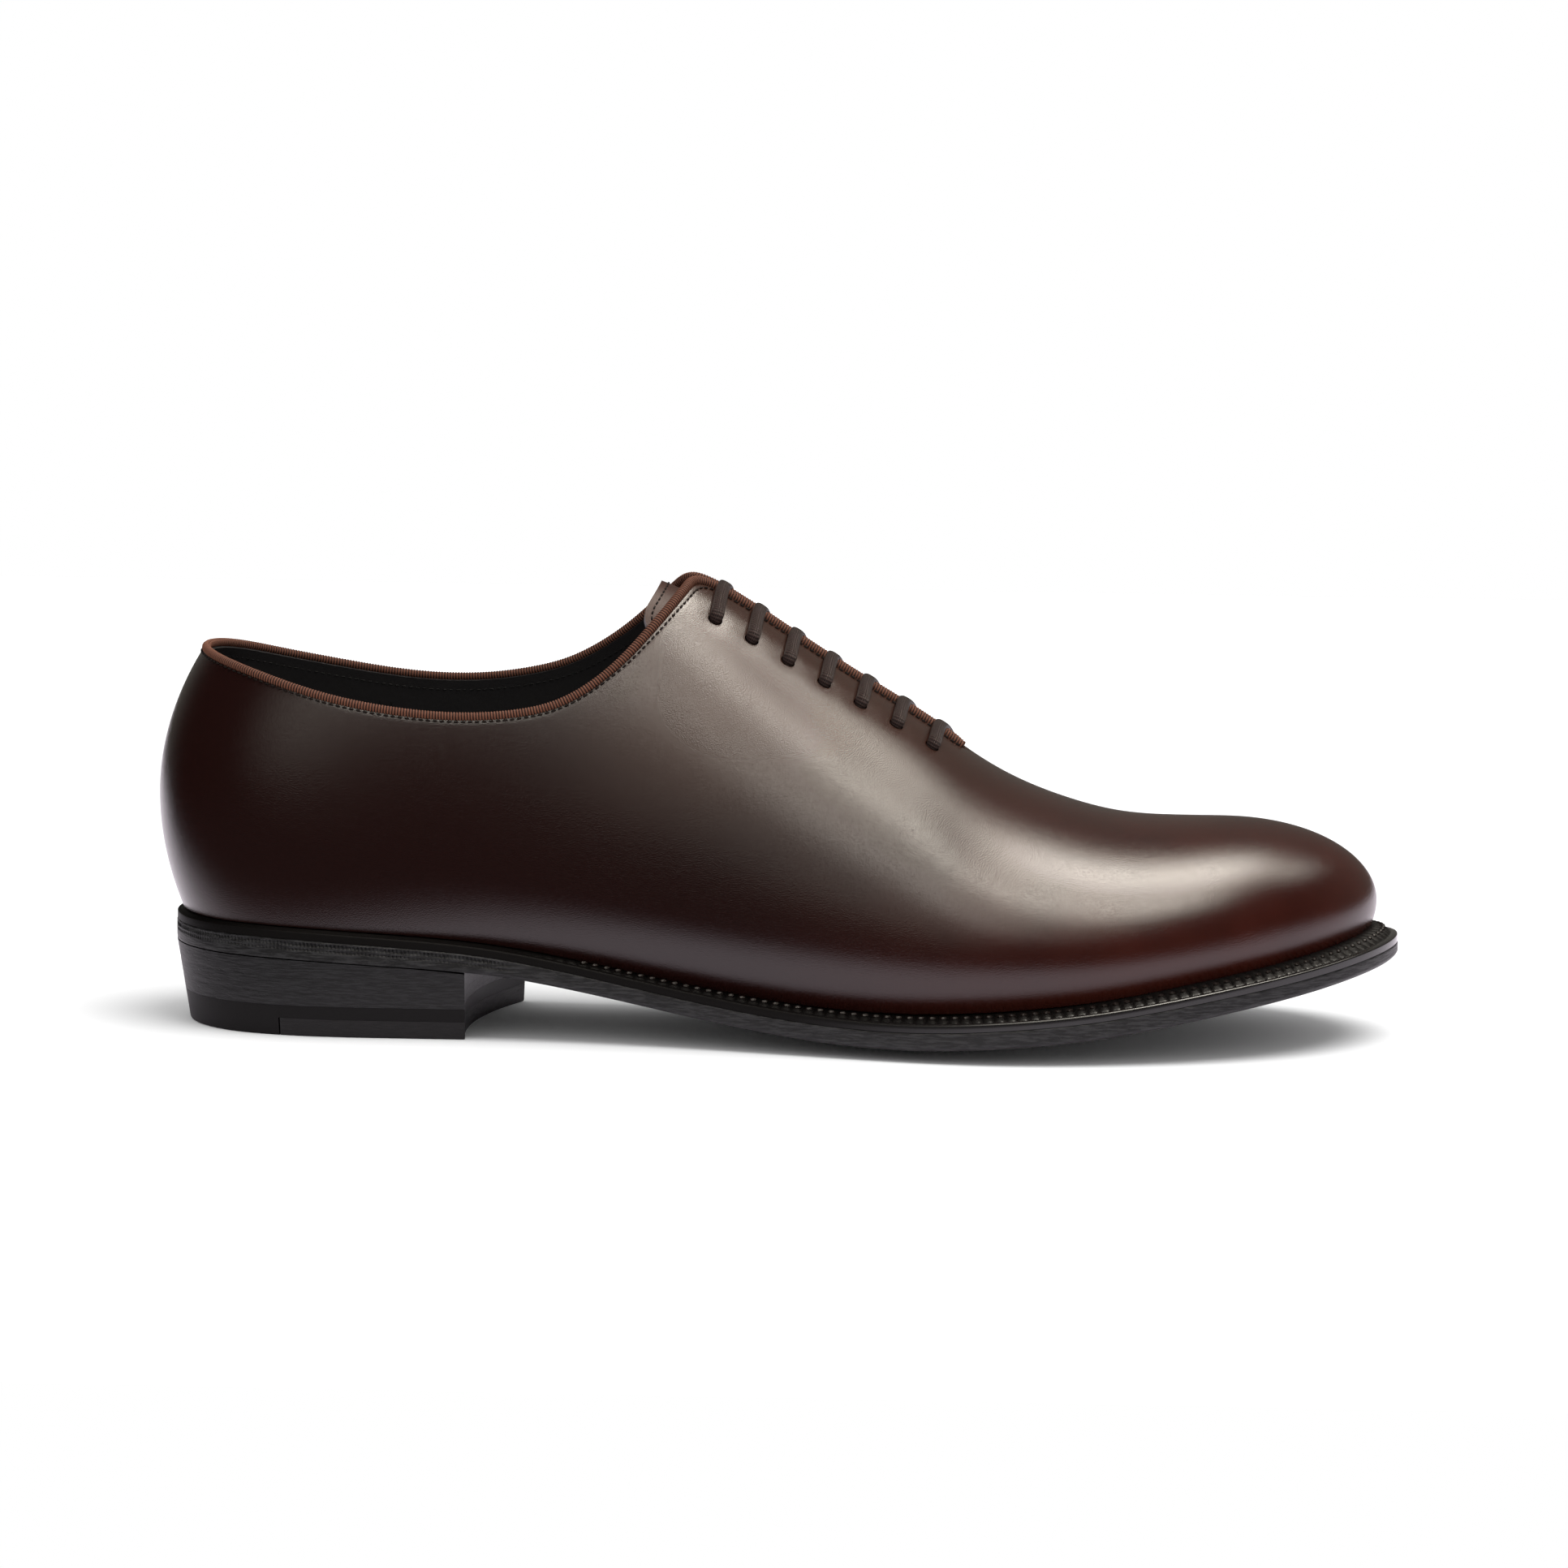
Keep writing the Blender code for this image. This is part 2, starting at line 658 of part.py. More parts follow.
def make_hole_cutter():
    """Twelve-sided punches set square to the leather at both ends of every bar."""
    points = []
    faces = []
    for side in (-1, 1):
        t, v = at_ridge_distance(lace_places(side), np.full(LACE_BARS, side * LACE_ASIDE))
        for middle, axis in zip(shifted(t, v, -WALL / 2), outward(t, v)):
            path = middle + np.outer([-HOLE_LENGTH / 2, HOLE_LENGTH / 2], axis)
            radius = np.full(2, HOLE_RADIUS)
            ring, walls = tube(path, (0.0, 1.0, 0.0), radius, radius, HOLE_SIDES)
            faces += [[corner + sum(map(len, points)) for corner in face] for face in walls]
            points.append(ring)
    cutter = add_piece("lace_hole_cutter", np.concatenate(points), faces, (0.5, 0.5, 0.5), 0.5)
    cutter.hide_render = True
    cutter.display_type = "WIRE"
    return cutter


def make_upper():
    """Outer and inner faces of one wall, joined round the sole line and round the open edge.

    Rows of points crowd toward the top, where the instep curves most.
    """
    side = upper_columns()
    t = np.concatenate([side, 2 - side[-2:0:-1]])
    top = edge_v(t, 2.0, BEAD_GAP)
    rows = 11
    share = np.linspace(0.0, 1.0, rows)
    share = ROW_CROWDING * share - (ROW_CROWDING - 1) * share ** 2
    columns = np.repeat(t, rows)
    heights = (top[:, None] * share[None, :]).reshape(-1)
    outer = last(columns, heights)
    inner = shifted(columns, heights, -WALL)
    foot = heights == 0.0
    inner[foot] = feather(t, WALL)
    count = len(t)
    number = np.arange(count * rows).reshape(count, rows)
    beside = np.roll(number, -1, axis=0)
    size = count * rows
    sheet = np.stack([number[:, :-1], beside[:, :-1], beside[:, 1:], number[:, 1:]], axis=-1).reshape(-1, 4)
    foot_rim = np.column_stack([number[:, 0], number[:, 0] + size, beside[:, 0] + size, beside[:, 0]])
    is_open = (top < 1.0) | (np.roll(top, -1) < 1.0)
    edge_rim = np.column_stack([beside[:, -1], beside[:, -1] + size, number[:, -1] + size, number[:, -1]])
    faces = np.concatenate([sheet, sheet[:, ::-1] + size, foot_rim, edge_rim[is_open]])
    upper = add_piece("upper", np.concatenate([outer, inner]), faces.tolist(), (0.06, 0.02, 0.015), 0.3)
    punch = upper.modifiers.new("lace holes", "BOOLEAN")
    punch.operation = "DIFFERENCE"
    punch.solver = "EXACT"
    punch.object = make_hole_cutter()
    return upper


def make_binding():
    """Bead from the foot of the throat up one facing, round the collar and down the other facing."""
    throat = station(45.0)
    t = np.linspace(throat, -throat, 1201)
    v = edge_v(t, 1.0, 0.0)
    path = even_steps(shifted(t, v, -WALL / 2), 108)
    radius = np.interp(path[:, 0], *BEAD_RADIUS.T)
    bead = tube(path, (0.0, 0.0, 1.0), radius, radius, 6)
    return add_piece("topline_binding", *bead, (0.07, 0.03, 0.022), 0.7)


def make_lace():
    """One lace: a bar over the throat, down a hole, along inside to the next hole, and back."""
    over = LACE_OVER_LEATHER
    under = -(WALL + LACE_RUN_GAP + LACE_RUN_RADIUS)
    corners = []
    side = -1
    for bar in range(LACE_BARS):
        start = (lace_places(side)[bar], side * LACE_ASIDE)
        end = (lace_places(-side)[bar], -side * LACE_ASIDE)
        corners += [(*start, under), (*start, over), (*end, over), (*end, under)]
        side = -side
    route = rounded_corners(corners, LACE_TURN, 3, 3.5)
    t, v = at_ridge_distance(route[:, 0], route[:, 1])
    path = shifted(t, v, route[:, 2])
    outside = np.clip((route[:, 2] - under) / (over - under), 0.0, 1.0)
    wide = LACE_RUN_RADIUS + (LACE_HALF_WIDTH - LACE_RUN_RADIUS) * outside
    tall = np.full(wide.shape, LACE_HALF_THICK)
    return add_piece("lace", *tube(path, (1.0, 0.0, -0.6), wide, tall, 6), (0.035, 0.022, 0.02), 0.8)


def make_tongue():
    """Sheet under the facings and the lace, its top corners rounded; its sides lean back as they wrap down."""
    x = np.linspace(TONGUE_FROM_X, TONGUE_TO_X, 14)
    share = np.linspace(-1.0, 1.0, 9)
    from_top = np.clip((x - TONGUE_FROM_X) / TONGUE_CORNER, 0.0, 1.0)
    half = TONGUE_HALF_WIDTH - TONGUE_CORNER * (1 - np.sqrt(1 - (1 - from_top) ** 2))
    aside = (half[:, None] * share[None, :]).reshape(-1)
    lean = TONGUE_LEAN * (aside / TONGUE_HALF_WIDTH) ** 2
    t, v = at_ridge_distance(np.repeat(x, len(share)) - lean, aside)
    depth = WALL + 2 * LACE_RUN_GAP + 2 * LACE_RUN_RADIUS
    levels = [
        shifted(t, v, -depth).reshape(len(x), len(share), 3),
        shifted(t, v, -depth - TONGUE_THICK).reshape(len(x), len(share), 3),
    ]
    return add_piece("tongue", *plate(levels), (0.05, 0.02, 0.015), 0.4)


make_outsole()
make_welt()
make_heel()
make_insole()
make_upper()
make_binding()
make_tongue()
make_lace()
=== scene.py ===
"""Looks of the wholecut oxford, right shoe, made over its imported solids.

Frame: toe toward +X, outer (lateral) side toward -Y, +Z up, floor at Z = 0.
Sizes of the shoe are in millimetres; new_mesh turns them into metres.
Sizes in the finishes, of the floor and of the lights are in metres.
A place round the shoe is t: 0 at the heel's back, 1 at the toe's tip along the
lateral side, and on to 2 back at the heel along the medial side.
A place up the upper is v: 0 at the sole, 1 at the ridge over the instep.
"""
import math

import bmesh
import bpy
import numpy as np
from mathutils import Matrix, Vector


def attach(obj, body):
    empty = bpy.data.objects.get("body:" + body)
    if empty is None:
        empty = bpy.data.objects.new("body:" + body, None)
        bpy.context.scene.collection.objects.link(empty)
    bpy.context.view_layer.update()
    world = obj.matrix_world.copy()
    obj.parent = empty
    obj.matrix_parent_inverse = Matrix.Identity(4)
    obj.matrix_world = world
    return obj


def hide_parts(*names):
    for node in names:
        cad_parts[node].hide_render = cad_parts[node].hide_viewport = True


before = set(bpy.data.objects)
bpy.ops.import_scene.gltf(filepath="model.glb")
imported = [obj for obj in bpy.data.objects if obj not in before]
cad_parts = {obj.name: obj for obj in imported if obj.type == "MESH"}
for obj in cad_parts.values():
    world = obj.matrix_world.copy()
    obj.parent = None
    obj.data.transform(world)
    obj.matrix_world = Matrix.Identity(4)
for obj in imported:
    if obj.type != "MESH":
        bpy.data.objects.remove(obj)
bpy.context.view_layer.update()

METRE = 0.001
WELD = 0.01
CLEARANCE = 0.3
CLOSE_JOINT = 0.05
SHARP_ANGLE = math.radians(38)
STATION_STEPS = 2001
EDGE_STEPS = 3001
OUTLINE_STEPS = 4001
HALVINGS = 40
RIDGE_REACHED = 1e-6
THREAD_RINGS = 7
THREAD_SIDES = 6

# Sole unit
SOLE_OUTLINE = np.array([
    # x, lateral y, medial y
    (-147.5, 2.5, 2.5),
    (-144.6, -10.5, 15.5),
    (-136.0, -21.5, 26.5),
    (-121.0, -28.5, 33.3),
    (-98.0, -31.0, 35.0),
    (-65.0, -31.0, 32.5),
    (-35.0, -33.5, 28.0),
    (-5.0, -39.5, 29.5),
    (25.0, -47.0, 38.0),
    (50.0, -51.5, 47.5),
    (72.0, -51.0, 51.5),
    (97.0, -46.5, 48.8),
    (118.0, -39.0, 42.0),
    (130.0, -32.0, 36.0),
    (141.0, -22.0, 27.5),
    (149.0, -10.0, 16.5),
    (152.3, 3.5, 3.5),
])
SOLE_LINE = np.array([
    # x, height of the welt's outer edge, rise of its top to the upper,
    # thickness of the outsole's edge, crown of its underside
    (-150.0, 26.9, 0.5, 4.6, 0.0),
    (-120.0, 26.4, 0.5, 4.6, 0.0),
    (-95.0, 25.2, 0.5, 4.5, 0.0),
    (-70.0, 23.1, 0.5, 4.2, 0.3),
    (-45.0, 18.9, 0.6, 3.9, 0.9),
    (-20.0, 14.2, 0.7, 3.8, 1.6),
    (5.0, 10.7, 0.9, 4.0, 3.0),
    (30.0, 9.4, 1.1, 4.2, 3.7),
    (55.0, 10.5, 1.3, 4.2, 3.6),
    (80.0, 13.0, 1.5, 4.1, 2.4),
    (105.0, 17.1, 1.7, 3.8, 1.4),
    (130.0, 21.4, 1.8, 3.4, 0.8),
    (154.0, 25.9, 1.8, 3.0, 0.4),
])
WELT_WIDTH = np.array([
    # x, lateral, medial: sole edge to the foot of the upper
    (-150.0, 1.6, 1.6),
    (-100.0, 2.0, 2.0),
    (-50.0, 4.0, 2.5),
    (0.0, 5.6, 3.2),
    (50.0, 6.8, 5.6),
    (100.0, 7.0, 6.8),
    (154.0, 7.2, 7.2),
])
WELT_EDGE_THICK = 2.0
WELT_EDGE_INSET = 0.12
WELT_UNDER_UPPER = 2.4
WELT_COLUMNS = 2200
WELT_SIDE_HEIGHTS = (-2.0, -1.2)
LIP_ROUNDING = 0.45
LIP_ROUND_STEPS = 7
LIP_SHARES = (0.12, 0.3, 0.55, 0.8, 1.0)
LIP_LAST_ROW = len(WELT_SIDE_HEIGHTS) + LIP_ROUND_STEPS + len(LIP_SHARES) - 1
LIP_WIDTH = 1.7
LIP_SHARE = 0.5
LIP_HEIGHT = 0.1
BED_ROWS = 11
FULL_BED_WIDTH = 4.0
NARROWEST_STITCHED = 3.0
STITCH_BED_FROM_X = -66.0
STITCH_BED_FULL_X = -48.0
WELT_STITCH_PITCH = 2.8
WELT_BUMP = 1.0
WELT_BUMP_LEAN = 0.25
WELT_BUMP_SUNK = 0.3
WELT_BUMP_SKEW = 0.8
WELT_THREAD = (0.95, 0.6, 0.5)
WELT_THREAD_TURN = 0.5
WELT_THREAD_SHARE = 0.36
WELT_THREAD_HEIGHT = 0.55
OUTSOLE_HEEL_STEPS = 430
OUTSOLE_FORE_STEPS = 210
OUTSOLE_ACROSS = 9
OUTSOLE_TOP_BEVEL = 0.4
OUTSOLE_TOP_LEVELS = (0.0, 0.12, OUTSOLE_TOP_BEVEL)
OUTSOLE_SIDE_LEVELS = 16
OUTSOLE_FOOT_BEVEL = 1.0
OUTSOLE_FOOT_LEVELS = (OUTSOLE_FOOT_BEVEL, 0.55, 0.25)
FOOT_BEVEL_POWER = 1.6
FOOT_BEVEL_SPAN = (-76.0, -62.0)
HEEL_BEVEL_SHARE = 0.1
SEAT_MARKS_END_X = -60.0
SEAT_MARKS_FADE = 8.0
SEAT_MARK_PITCH = 0.95
SEAT_MARK_DEPTH = 0.4
TEETH_BELOW = 0.85
TEETH_HALF_HEIGHT = 0.6
DOTS_BELOW = 2.2
DOTS_HALF_HEIGHT = 0.3

# Heel
HEEL_LATERAL_CORNER = -74.0
HEEL_MEDIAL_CORNER = -63.5
HEEL_BREAST_SAG = 4.2
HEEL_TOP_INSET = 0.25
HEEL_TAPER = 0.165
HEEL_SEAT = 18.6
RUBBER_TOP = 7.6
INSERT_TOP = 4.4
RUBBER_JOINT = 0.49
LIFT_JOINTS = (0.36, 0.7)
LIFT_GROOVE = 0.07
LIFT_GROOVE_HALF = 0.02
LIFT_LEVELS = 41
INSERT_GAP_SHARE = 0.004
HEEL_BACK_STEPS = 40
HEEL_FRONT_STEPS = 30
HEEL_ACROSS = 25
BREAST_SAG_POWER = 3
BREAST_INSET_POWER = 8
FOOT_ROUNDING = 0.5
FOOT_ROUNDS = (
    # height over the foot and inset, both as shares of the rounding
    (1.0, 0.0),
    (0.6, 0.07),
    (0.25, 0.25),
    (0.0, 1.0),
)

# Upper: the last it was pulled over
RIDGE = np.array([
    # x, y, z along the top of the last; the part over the collar is only a guide
    (-100.0, 3.0, 120.6),
    (-60.0, 4.0, 119.8),
    (-40.0, 4.5, 117.0),
    (-20.0, 5.0, 110.4),
    (0.0, 5.2, 98.3),
    (20.0, 5.5, 85.5),
    (40.0, 5.8, 73.0),
    (48.0, 5.8, 67.4),
    (56.0, 5.6, 62.7),
    (70.0, 5.2, 57.0),
    (84.0, 4.8, 53.6),
    (96.0, 4.4, 52.9),
    (112.0, 4.0, 53.2),
])
HEEL_POLE = -95.0
TOE_POLE = 108.0
POLE_SOFTNESS = 10.0
SECTIONS = np.array([
    # x, lateral swell, medial swell, lateral rise, medial rise,
    # side fullness, lateral top fullness, medial top fullness
    (-150.0, 6.1, 6.1, 29.0, 29.0, 0.46, 0.55, 0.55),
    (-125.0, 4.4, 4.2, 25.0, 25.0, 0.50, 0.55, 0.55),
    (-95.0, 3.6, 3.4, 21.0, 22.0, 0.55, 0.55, 0.55),
    (-60.0, 4.2, 4.2, 19.0, 22.0, 0.55, 0.54, 0.55),
    (-20.0, 5.2, 6.0, 18.0, 22.0, 0.54, 0.50, 0.52),
    (20.0, 4.6, 5.6, 16.0, 19.0, 0.52, 0.47, 0.50),
    (55.0, 3.4, 3.6, 12.0, 13.5, 0.52, 0.47, 0.53),
    (85.0, 2.6, 2.6, 9.2, 9.6, 0.55, 0.53, 0.56),
    (115.0, 2.2, 2.2, 7.6, 7.8, 0.54, 0.60, 0.60),
    (154.0, 1.8, 1.8, 7.2, 7.2, 0.50, 0.63, 0.63),
])
GIRTH_V = 0.25
ROW_CROWDING = 1.75
WALL = 2.0
LEATHER_THICK = 1.25
LINING_GAP = 0.05
SIDE_STEPS = 270
CORNER_SPAN = (-48.0, -14.0)
CORNER_STEPS = 60
THROAT_FOOT_SPAN = (43.0, 47.5)
THROAT_FOOT_STEPS = 24
OUTER_ROWS = 84
HIDDEN_ROWS = 20
LINING_ROWS = 44
EDGE_ROLL = 0.3
EDGE_ROLL_WIDTH = 0.4
# the stitches' line: so many bead radii, less a length, in from the finished edge
STITCH_BEAD_RADII = 7.0
STITCH_LESS = 5.3
EDGE_LINE_STEPS = 2400
STITCH_GROOVE = 0.06
STITCH_GROOVE_HALF = 0.45
STITCH_RISE = 0.1
LACE_DENT = 0.3
LACE_DENT_RADIUS = 3.4

# Collar, throat and binding
TOPLINE = np.array([
    # x, lateral z, medial z of the finished collar edge, carried on past the facings' tops
    (-160.0, 96.6, 96.6),
    (-141.0, 93.1, 93.1),
    (-128.0, 89.9, 89.4),
    (-110.0, 84.9, 85.4),
    (-92.0, 81.5, 82.8),
    (-75.0, 80.3, 82.6),
    (-62.0, 81.2, 84.6),
    (-53.0, 83.4, 87.4),
    (-45.0, 87.7, 91.8),
    (-37.0, 94.4, 97.9),
    (-29.0, 103.2, 105.6),
    (-22.0, 111.2, 112.8),
    (-10.0, 125.0, 126.0),
    (60.0, 200.0, 200.0),
])
THROAT_GAP = np.array([
    # x, half the gap between the finished edges; below zero the throat is shut
    (-160.0, -80.0),
    (-60.0, -80.0),
    (-40.0, 3.8),
    (-26.0, 3.4),
    (-15.0, 1.4),
    (-5.0, 0.5),
    (5.0, 0.25),
    (45.0, 0.2),
    (46.8, -2.2),
    (52.0, -8.0),
    (160.0, -60.0),
])
FACING_CORNER = 5.0
TUCK = 0.6
# how far in from the finished edge the bead's middle and foot lie, in its radii
BEAD_MIDDLE = 1.0
BEAD_FOOT = 2.0
BEAD = np.array([
    # x, radius of the binding, depth of its middle under the leather's face
    (-160.0, 1.1, 0.4),
    (-40.0, 1.1, 0.4),
    (-15.0, 1.3, -0.1),
    (43.0, 1.3, -0.1),
    (45.0, 1.1, 0.0),
    (160.0, 1.1, 0.0),
])
THROAT_FOOT_X = 45.0
RIB_PITCH = 0.7
RIB_STEPS = 5
RIB_HEIGHT = 0.2
RIB_SLANT = 0.5
BEAD_SIDES = 14
BINDING_STITCH_PITCH = 1.7
BINDING_THREAD = (0.62, 0.25, 0.3)
LINING_STITCH_BELOW = 1.9
LINING_THREAD = (0.6, 0.2, 0.16)
LINING_SEAM_X = -96.6
LINING_SEAM_ROWS = (-0.8, -3.6)
LINING_SEAM_PITCH = 1.9
LINING_SEAM_SPAN = (0.1, 0.97)
LINING_SEAM_STEPS = 200
LINING_SEAM_SEARCH = 400

# Lace and its holes
LACE_BARS = 7
LACE_FIRST_X = -14.1
LACE_PITCH_X = 8.85
LACE_ASIDE = 15.4
LACE_SLANT_X = 1.3
LACE_HALF_WIDTH = 1.7
LACE_HALF_THICK = 0.9
LACE_RUN_RADIUS = 0.85
LACE_RUN_GAP = 0.5
LACE_RUN_HEIGHT = -(WALL + LACE_RUN_GAP + LACE_RUN_RADIUS)
LACE_TURN = 1.6
LONGEST_TURN_SHARE = 0.45
TURN_STEPS = 9
BAR_CORNERS = 4
# a run inside counts from half-way down its hole, this many corners before the next bar's first
HALF_WAY_IN = 1.5
LACE_OVER_LEATHER = 1.1
LACE_STEP = 0.18
LACE_SIDES = 32
LACE_SQUARENESS = 0.72
BRAID_PITCH = 1.0
BRAID_STRANDS = 16
HOLE_RADIUS = 1.85
HOLE_LENGTH = 9.0
HOLE_SIDES = 24
THROAT_HEADING = (1.0, 0.0, -0.6)

# Tongue and insole
TONGUE_FROM_X = -27.5
TONGUE_TO_X = 60.0
TONGUE_HALF_WIDTH = 21.0
TONGUE_THICK = 1.6
TONGUE_DEPTH = WALL + 2 * LACE_RUN_GAP + 2 * LACE_RUN_RADIUS
TONGUE_CORNER = 6.0
TONGUE_LEAN = 7.0
TONGUE_CORNER_STEPS = 14
TONGUE_ROWS = 60
TONGUE_ACROSS = 41
TONGUE_STITCH_INSET = 1.8
TONGUE_STITCH_RISE = 0.05
TONGUE_STITCH_STEPS = 200
INSOLE_THICK = 3.2
INSOLE_STEPS = 161
INSOLE_ACROSS = 25

# Finishes; sizes in metres, a bump as its strength and depth
MIX_SHARE = 0
MIX_FIRST = 6
MIX_SECOND = 7
MIX_RESULT = 2
LIGHT_COLOUR = (1.0, 0.945, 0.84)
FINISHES = {
    # base colour, roughness, other sockets that are the same all over
    "upper_leather": ((0.025, 0.0048, 0.003), 0.21, {"Coat Weight": 0.1, "Coat Roughness": 0.16}),
    "tongue_leather": ((0.036, 0.014, 0.0095), 0.42, {"Specular IOR Level": 0.2}),
    "lining_leather": ((0.015, 0.0135, 0.014), 0.42, {}),
    "insole_leather": ((0.014, 0.012, 0.012), 0.6, {}),
    "binding_tape": ((0.13, 0.05, 0.03), 0.8, {"Specular IOR Level": 0.2}),
    "lace_braid": ((0.024, 0.016, 0.0145), 0.36, {"Specular IOR Level": 0.14}),
    "edge_thread": ((0.009, 0.0045, 0.0035), 0.75, {"Specular IOR Level": 0.2}),
    "tongue_thread": ((0.009, 0.0045, 0.0035), 0.75, {"Specular IOR Level": 0.2}),
    "lining_thread": ((0.007, 0.0065, 0.0065), 0.7, {"Specular IOR Level": 0.2}),
    "welt_thread": ((0.009, 0.0055, 0.0045), 0.35, {"Specular IOR Level": 0.2}),
    "welt_leather": ((0.0045, 0.0035, 0.0032), 0.5, {"Specular IOR Level": 0.1, "Coat Roughness": 0.15}),
    "outsole_leather": ((0.007, 0.0065, 0.007), 0.42, {"Specular IOR Level": 0.3}),
    "heel_leather": ((0.006, 0.0055, 0.006), 0.45, {"Specular IOR Level": 0.3}),
    "insert_leather": ((0.004, 0.0035, 0.0035), 0.5, {"Specular IOR Level": 0.3}),
    "heel_rubber": ((0.0045, 0.0038, 0.0037), 0.5, {"Specular IOR Level": 0.15}),
    "floor": ((0.86, 0.86, 0.86), 0.9, {"Specular IOR Level": 0.0}),
    "softbox": ((0.0, 0.0, 0.0), 1.0, {"Specular IOR Level": 0.0, "Emission Color": (*LIGHT_COLOUR, 1.0)}),
}
GRAINS = {
    # size of the pebbles, bump
    "upper_leather": (0.00027, (0.45, 0.00007)),
    "tongue_leather": (0.0004, (0.35, 0.00008)),
    "lining_leather": (0.0009, (0.3, 0.0001)),
    "insole_leather": (0.0008, (0.3, 0.0001)),
}
PEBBLE_SMOOTHNESS = 0.6
CRUMB_SHARE = 0.8
UPPER_DYES = ((0.024, 0.0043, 0.0026), (0.034, 0.006, 0.0034))
CLOUD_SIZE = 0.03
CLOUD_SPREAD = (0.35, 0.65)
# the upper's colour from the vamp back toward the heel: darker
HEELWARD_COLOUR = (0.0115, 0.0027, 0.0021)
HEELWARD_X = (0.1, -0.02)
THROAT_DYE = (0.036, 0.014, 0.0085)
THROAT_TINT_X = (-0.06, -0.01)
THROAT_TINT_Z = (0.045, 0.085)
CRUMPLE_SIZE = 0.006
CRUMPLE_BUMP = (0.3, 0.0006)
# painted shade in the grooves between the ribs, then the tape's own colour on their tops
SHADED_GROOVE_AND_TAPE = ((0.021, 0.0072, 0.0045), (0.15, 0.056, 0.032))
TAPE_SPREAD = (-0.1, 1.6)
FLUFF_SIZE = 0.00035
FLUFF_SHARE = 1.4
FLUFF_BUMP = (0.5, 0.0001)
TWIST_SIZE = 0.0003
TWIST_BUMP = (0.5, 0.0001)
# painted shade between the strands, then the lace's own colour on their crowns
STRAND_SHADE_AND_BRAID = ((0.007, 0.004, 0.0034), (0.05, 0.03, 0.026))
BRAID_SPREAD = (-0.3, 1.2)
BRAID_BUMP = (0.7, 0.00014)
FIBRE_SIZE = 0.00025
STREAK_COLOURS = {
    "outsole_leather": (0.024, 0.023, 0.024),
    "heel_leather": (0.014, 0.0135, 0.0145),
    "insert_leather": (0.007, 0.006, 0.006),
}
STREAK_STRETCH = (0.12, 0.12, 1.0)
STREAK_SIZE = 0.0005
STREAK_SPREAD = (0.42, 0.62)
STREAK_BUMP = (0.8, 0.00025)
PIT_STRETCH = (0.4, 0.4, 1.0)
PIT_SIZE = 0.0012
PIT_SPREAD = (0.25, 0.42)
PIT_BUMP = (0.35, 0.0002)
LIP_POLISH_X = (0.0, 0.06)
WAX_SIZE = 0.0007
WAX_BUMP = (0.25, 0.00012)
RUBBER_SIZE = 0.0006
RUBBER_BUMP = (0.15, 0.0001)

# Camera, as the photograph was taken; in millimetres, but for the clip in metres
PHOTO_PIXELS = 1932
MM_PER_PIXEL = 0.1985
CAMERA_DISTANCE = 2000.0
CAMERA_ELEVATION = math.radians(8.2)
CAMERA_YAW = math.radians(2.5)
CAMERA_ROLL = math.radians(0.6)
CAMERA_TARGET = Vector((1.62, 0.0, 60.05))
SENSOR = 36.0
CAMERA_CLIP = 50.0

# Floor and lights, as the leather mirrors them; in metres
FACING_UP = ((-1, -1), (1, -1), (1, 1), (-1, 1))
FACING_DOWN = ((-1, -1), (-1, 1), (1, 1), (1, -1))
FLOOR_MIDDLE = (0.175, 0.24)
FLOOR_SIZE = (1.25, 1.32)
SUN_PLACE = (0.3, -0.15, 0.94)
SUN_STRENGTH = 2.2
SUN_WIDTH = math.radians(38)
SOFTBOX_HEIGHT = 1.25
SOFTBOX_FADE = 0.65
SOFTBOXES = {
    # middle, size, radiance
    "over_toe": ((0.26, 0.22), (0.85, 0.95), 15.0),
    "past_toe": ((0.85, 0.4), (0.6, 0.7), 6.0),
    "over_vamp": ((0.33, -0.56), (0.56, 0.9), 21.0),
    "front_overhead": ((0.0, -1.45), (0.9, 2.0), 5.5),
}
MIRRORED_FLOOR = (
    # slant across the floor, where it is dark, where it is lit
    ((0.35, 1.0, 0.0), -0.12, -0.08),
    ((1.0, 0.8, 0.0), -0.28, -0.16),
)
# painted shade and light of the floor as the leather mirrors it: dark, then lit
MIRRORED_COLOURS = ((0.02, 0.02, 0.02), (0.95, 0.88, 0.95))
ROOM_LIGHT = 0.9
WINDOW_SPREADS = {"X": (0.02, -0.28), "Y": (-0.65, -0.92), "Z": (0.1, 0.28)}
WINDOW_SHINE = 1.4
BACK_HEADING = (0.35, 0.94, 0.0)
BACK_SPREAD = (0.0, 0.8)
BACK_SHINE = (0.01, 0.16)

# Small steps for slopes
HALF_STEP_X = 0.5
TINY_T = 2e-4
TINY_V = 1e-3
NEAREST_RIDGE = 10 * TINY_V


# Curves


def spline(knots, values, query):
    """Natural cubic spline through rows of values at the knots, read at each query."""
    step = np.diff(knots)
    slope = np.diff(values, axis=0) / step[:, None]
    count = len(knots)
    inside = np.arange(1, count - 1)
    system = np.eye(count)
    system[inside, inside - 1] = step[:-1]
    system[inside, inside] = 2 * (step[:-1] + step[1:])
    system[inside, inside + 1] = step[1:]
    right = np.zeros_like(values)
    right[1:-1] = 6 * np.diff(slope, axis=0)
    bend = np.linalg.solve(system, right)
    span = np.clip(np.searchsorted(knots, query) - 1, 0, count - 2)
    width = step[span][:, None]
    before = (knots[span + 1][:, None] - query[:, None]) / width
    after = 1 - before
    straight = before * values[span] + after * values[span + 1]
    curved = (before ** 3 - before) * bend[span] + (after ** 3 - after) * bend[span + 1]
    return straight + curved * width ** 2 / 6


def table(rows, query):
    """Smooth reading of a table whose first column is x."""
    return spline(rows[:, 0], rows[:, 1:], query)


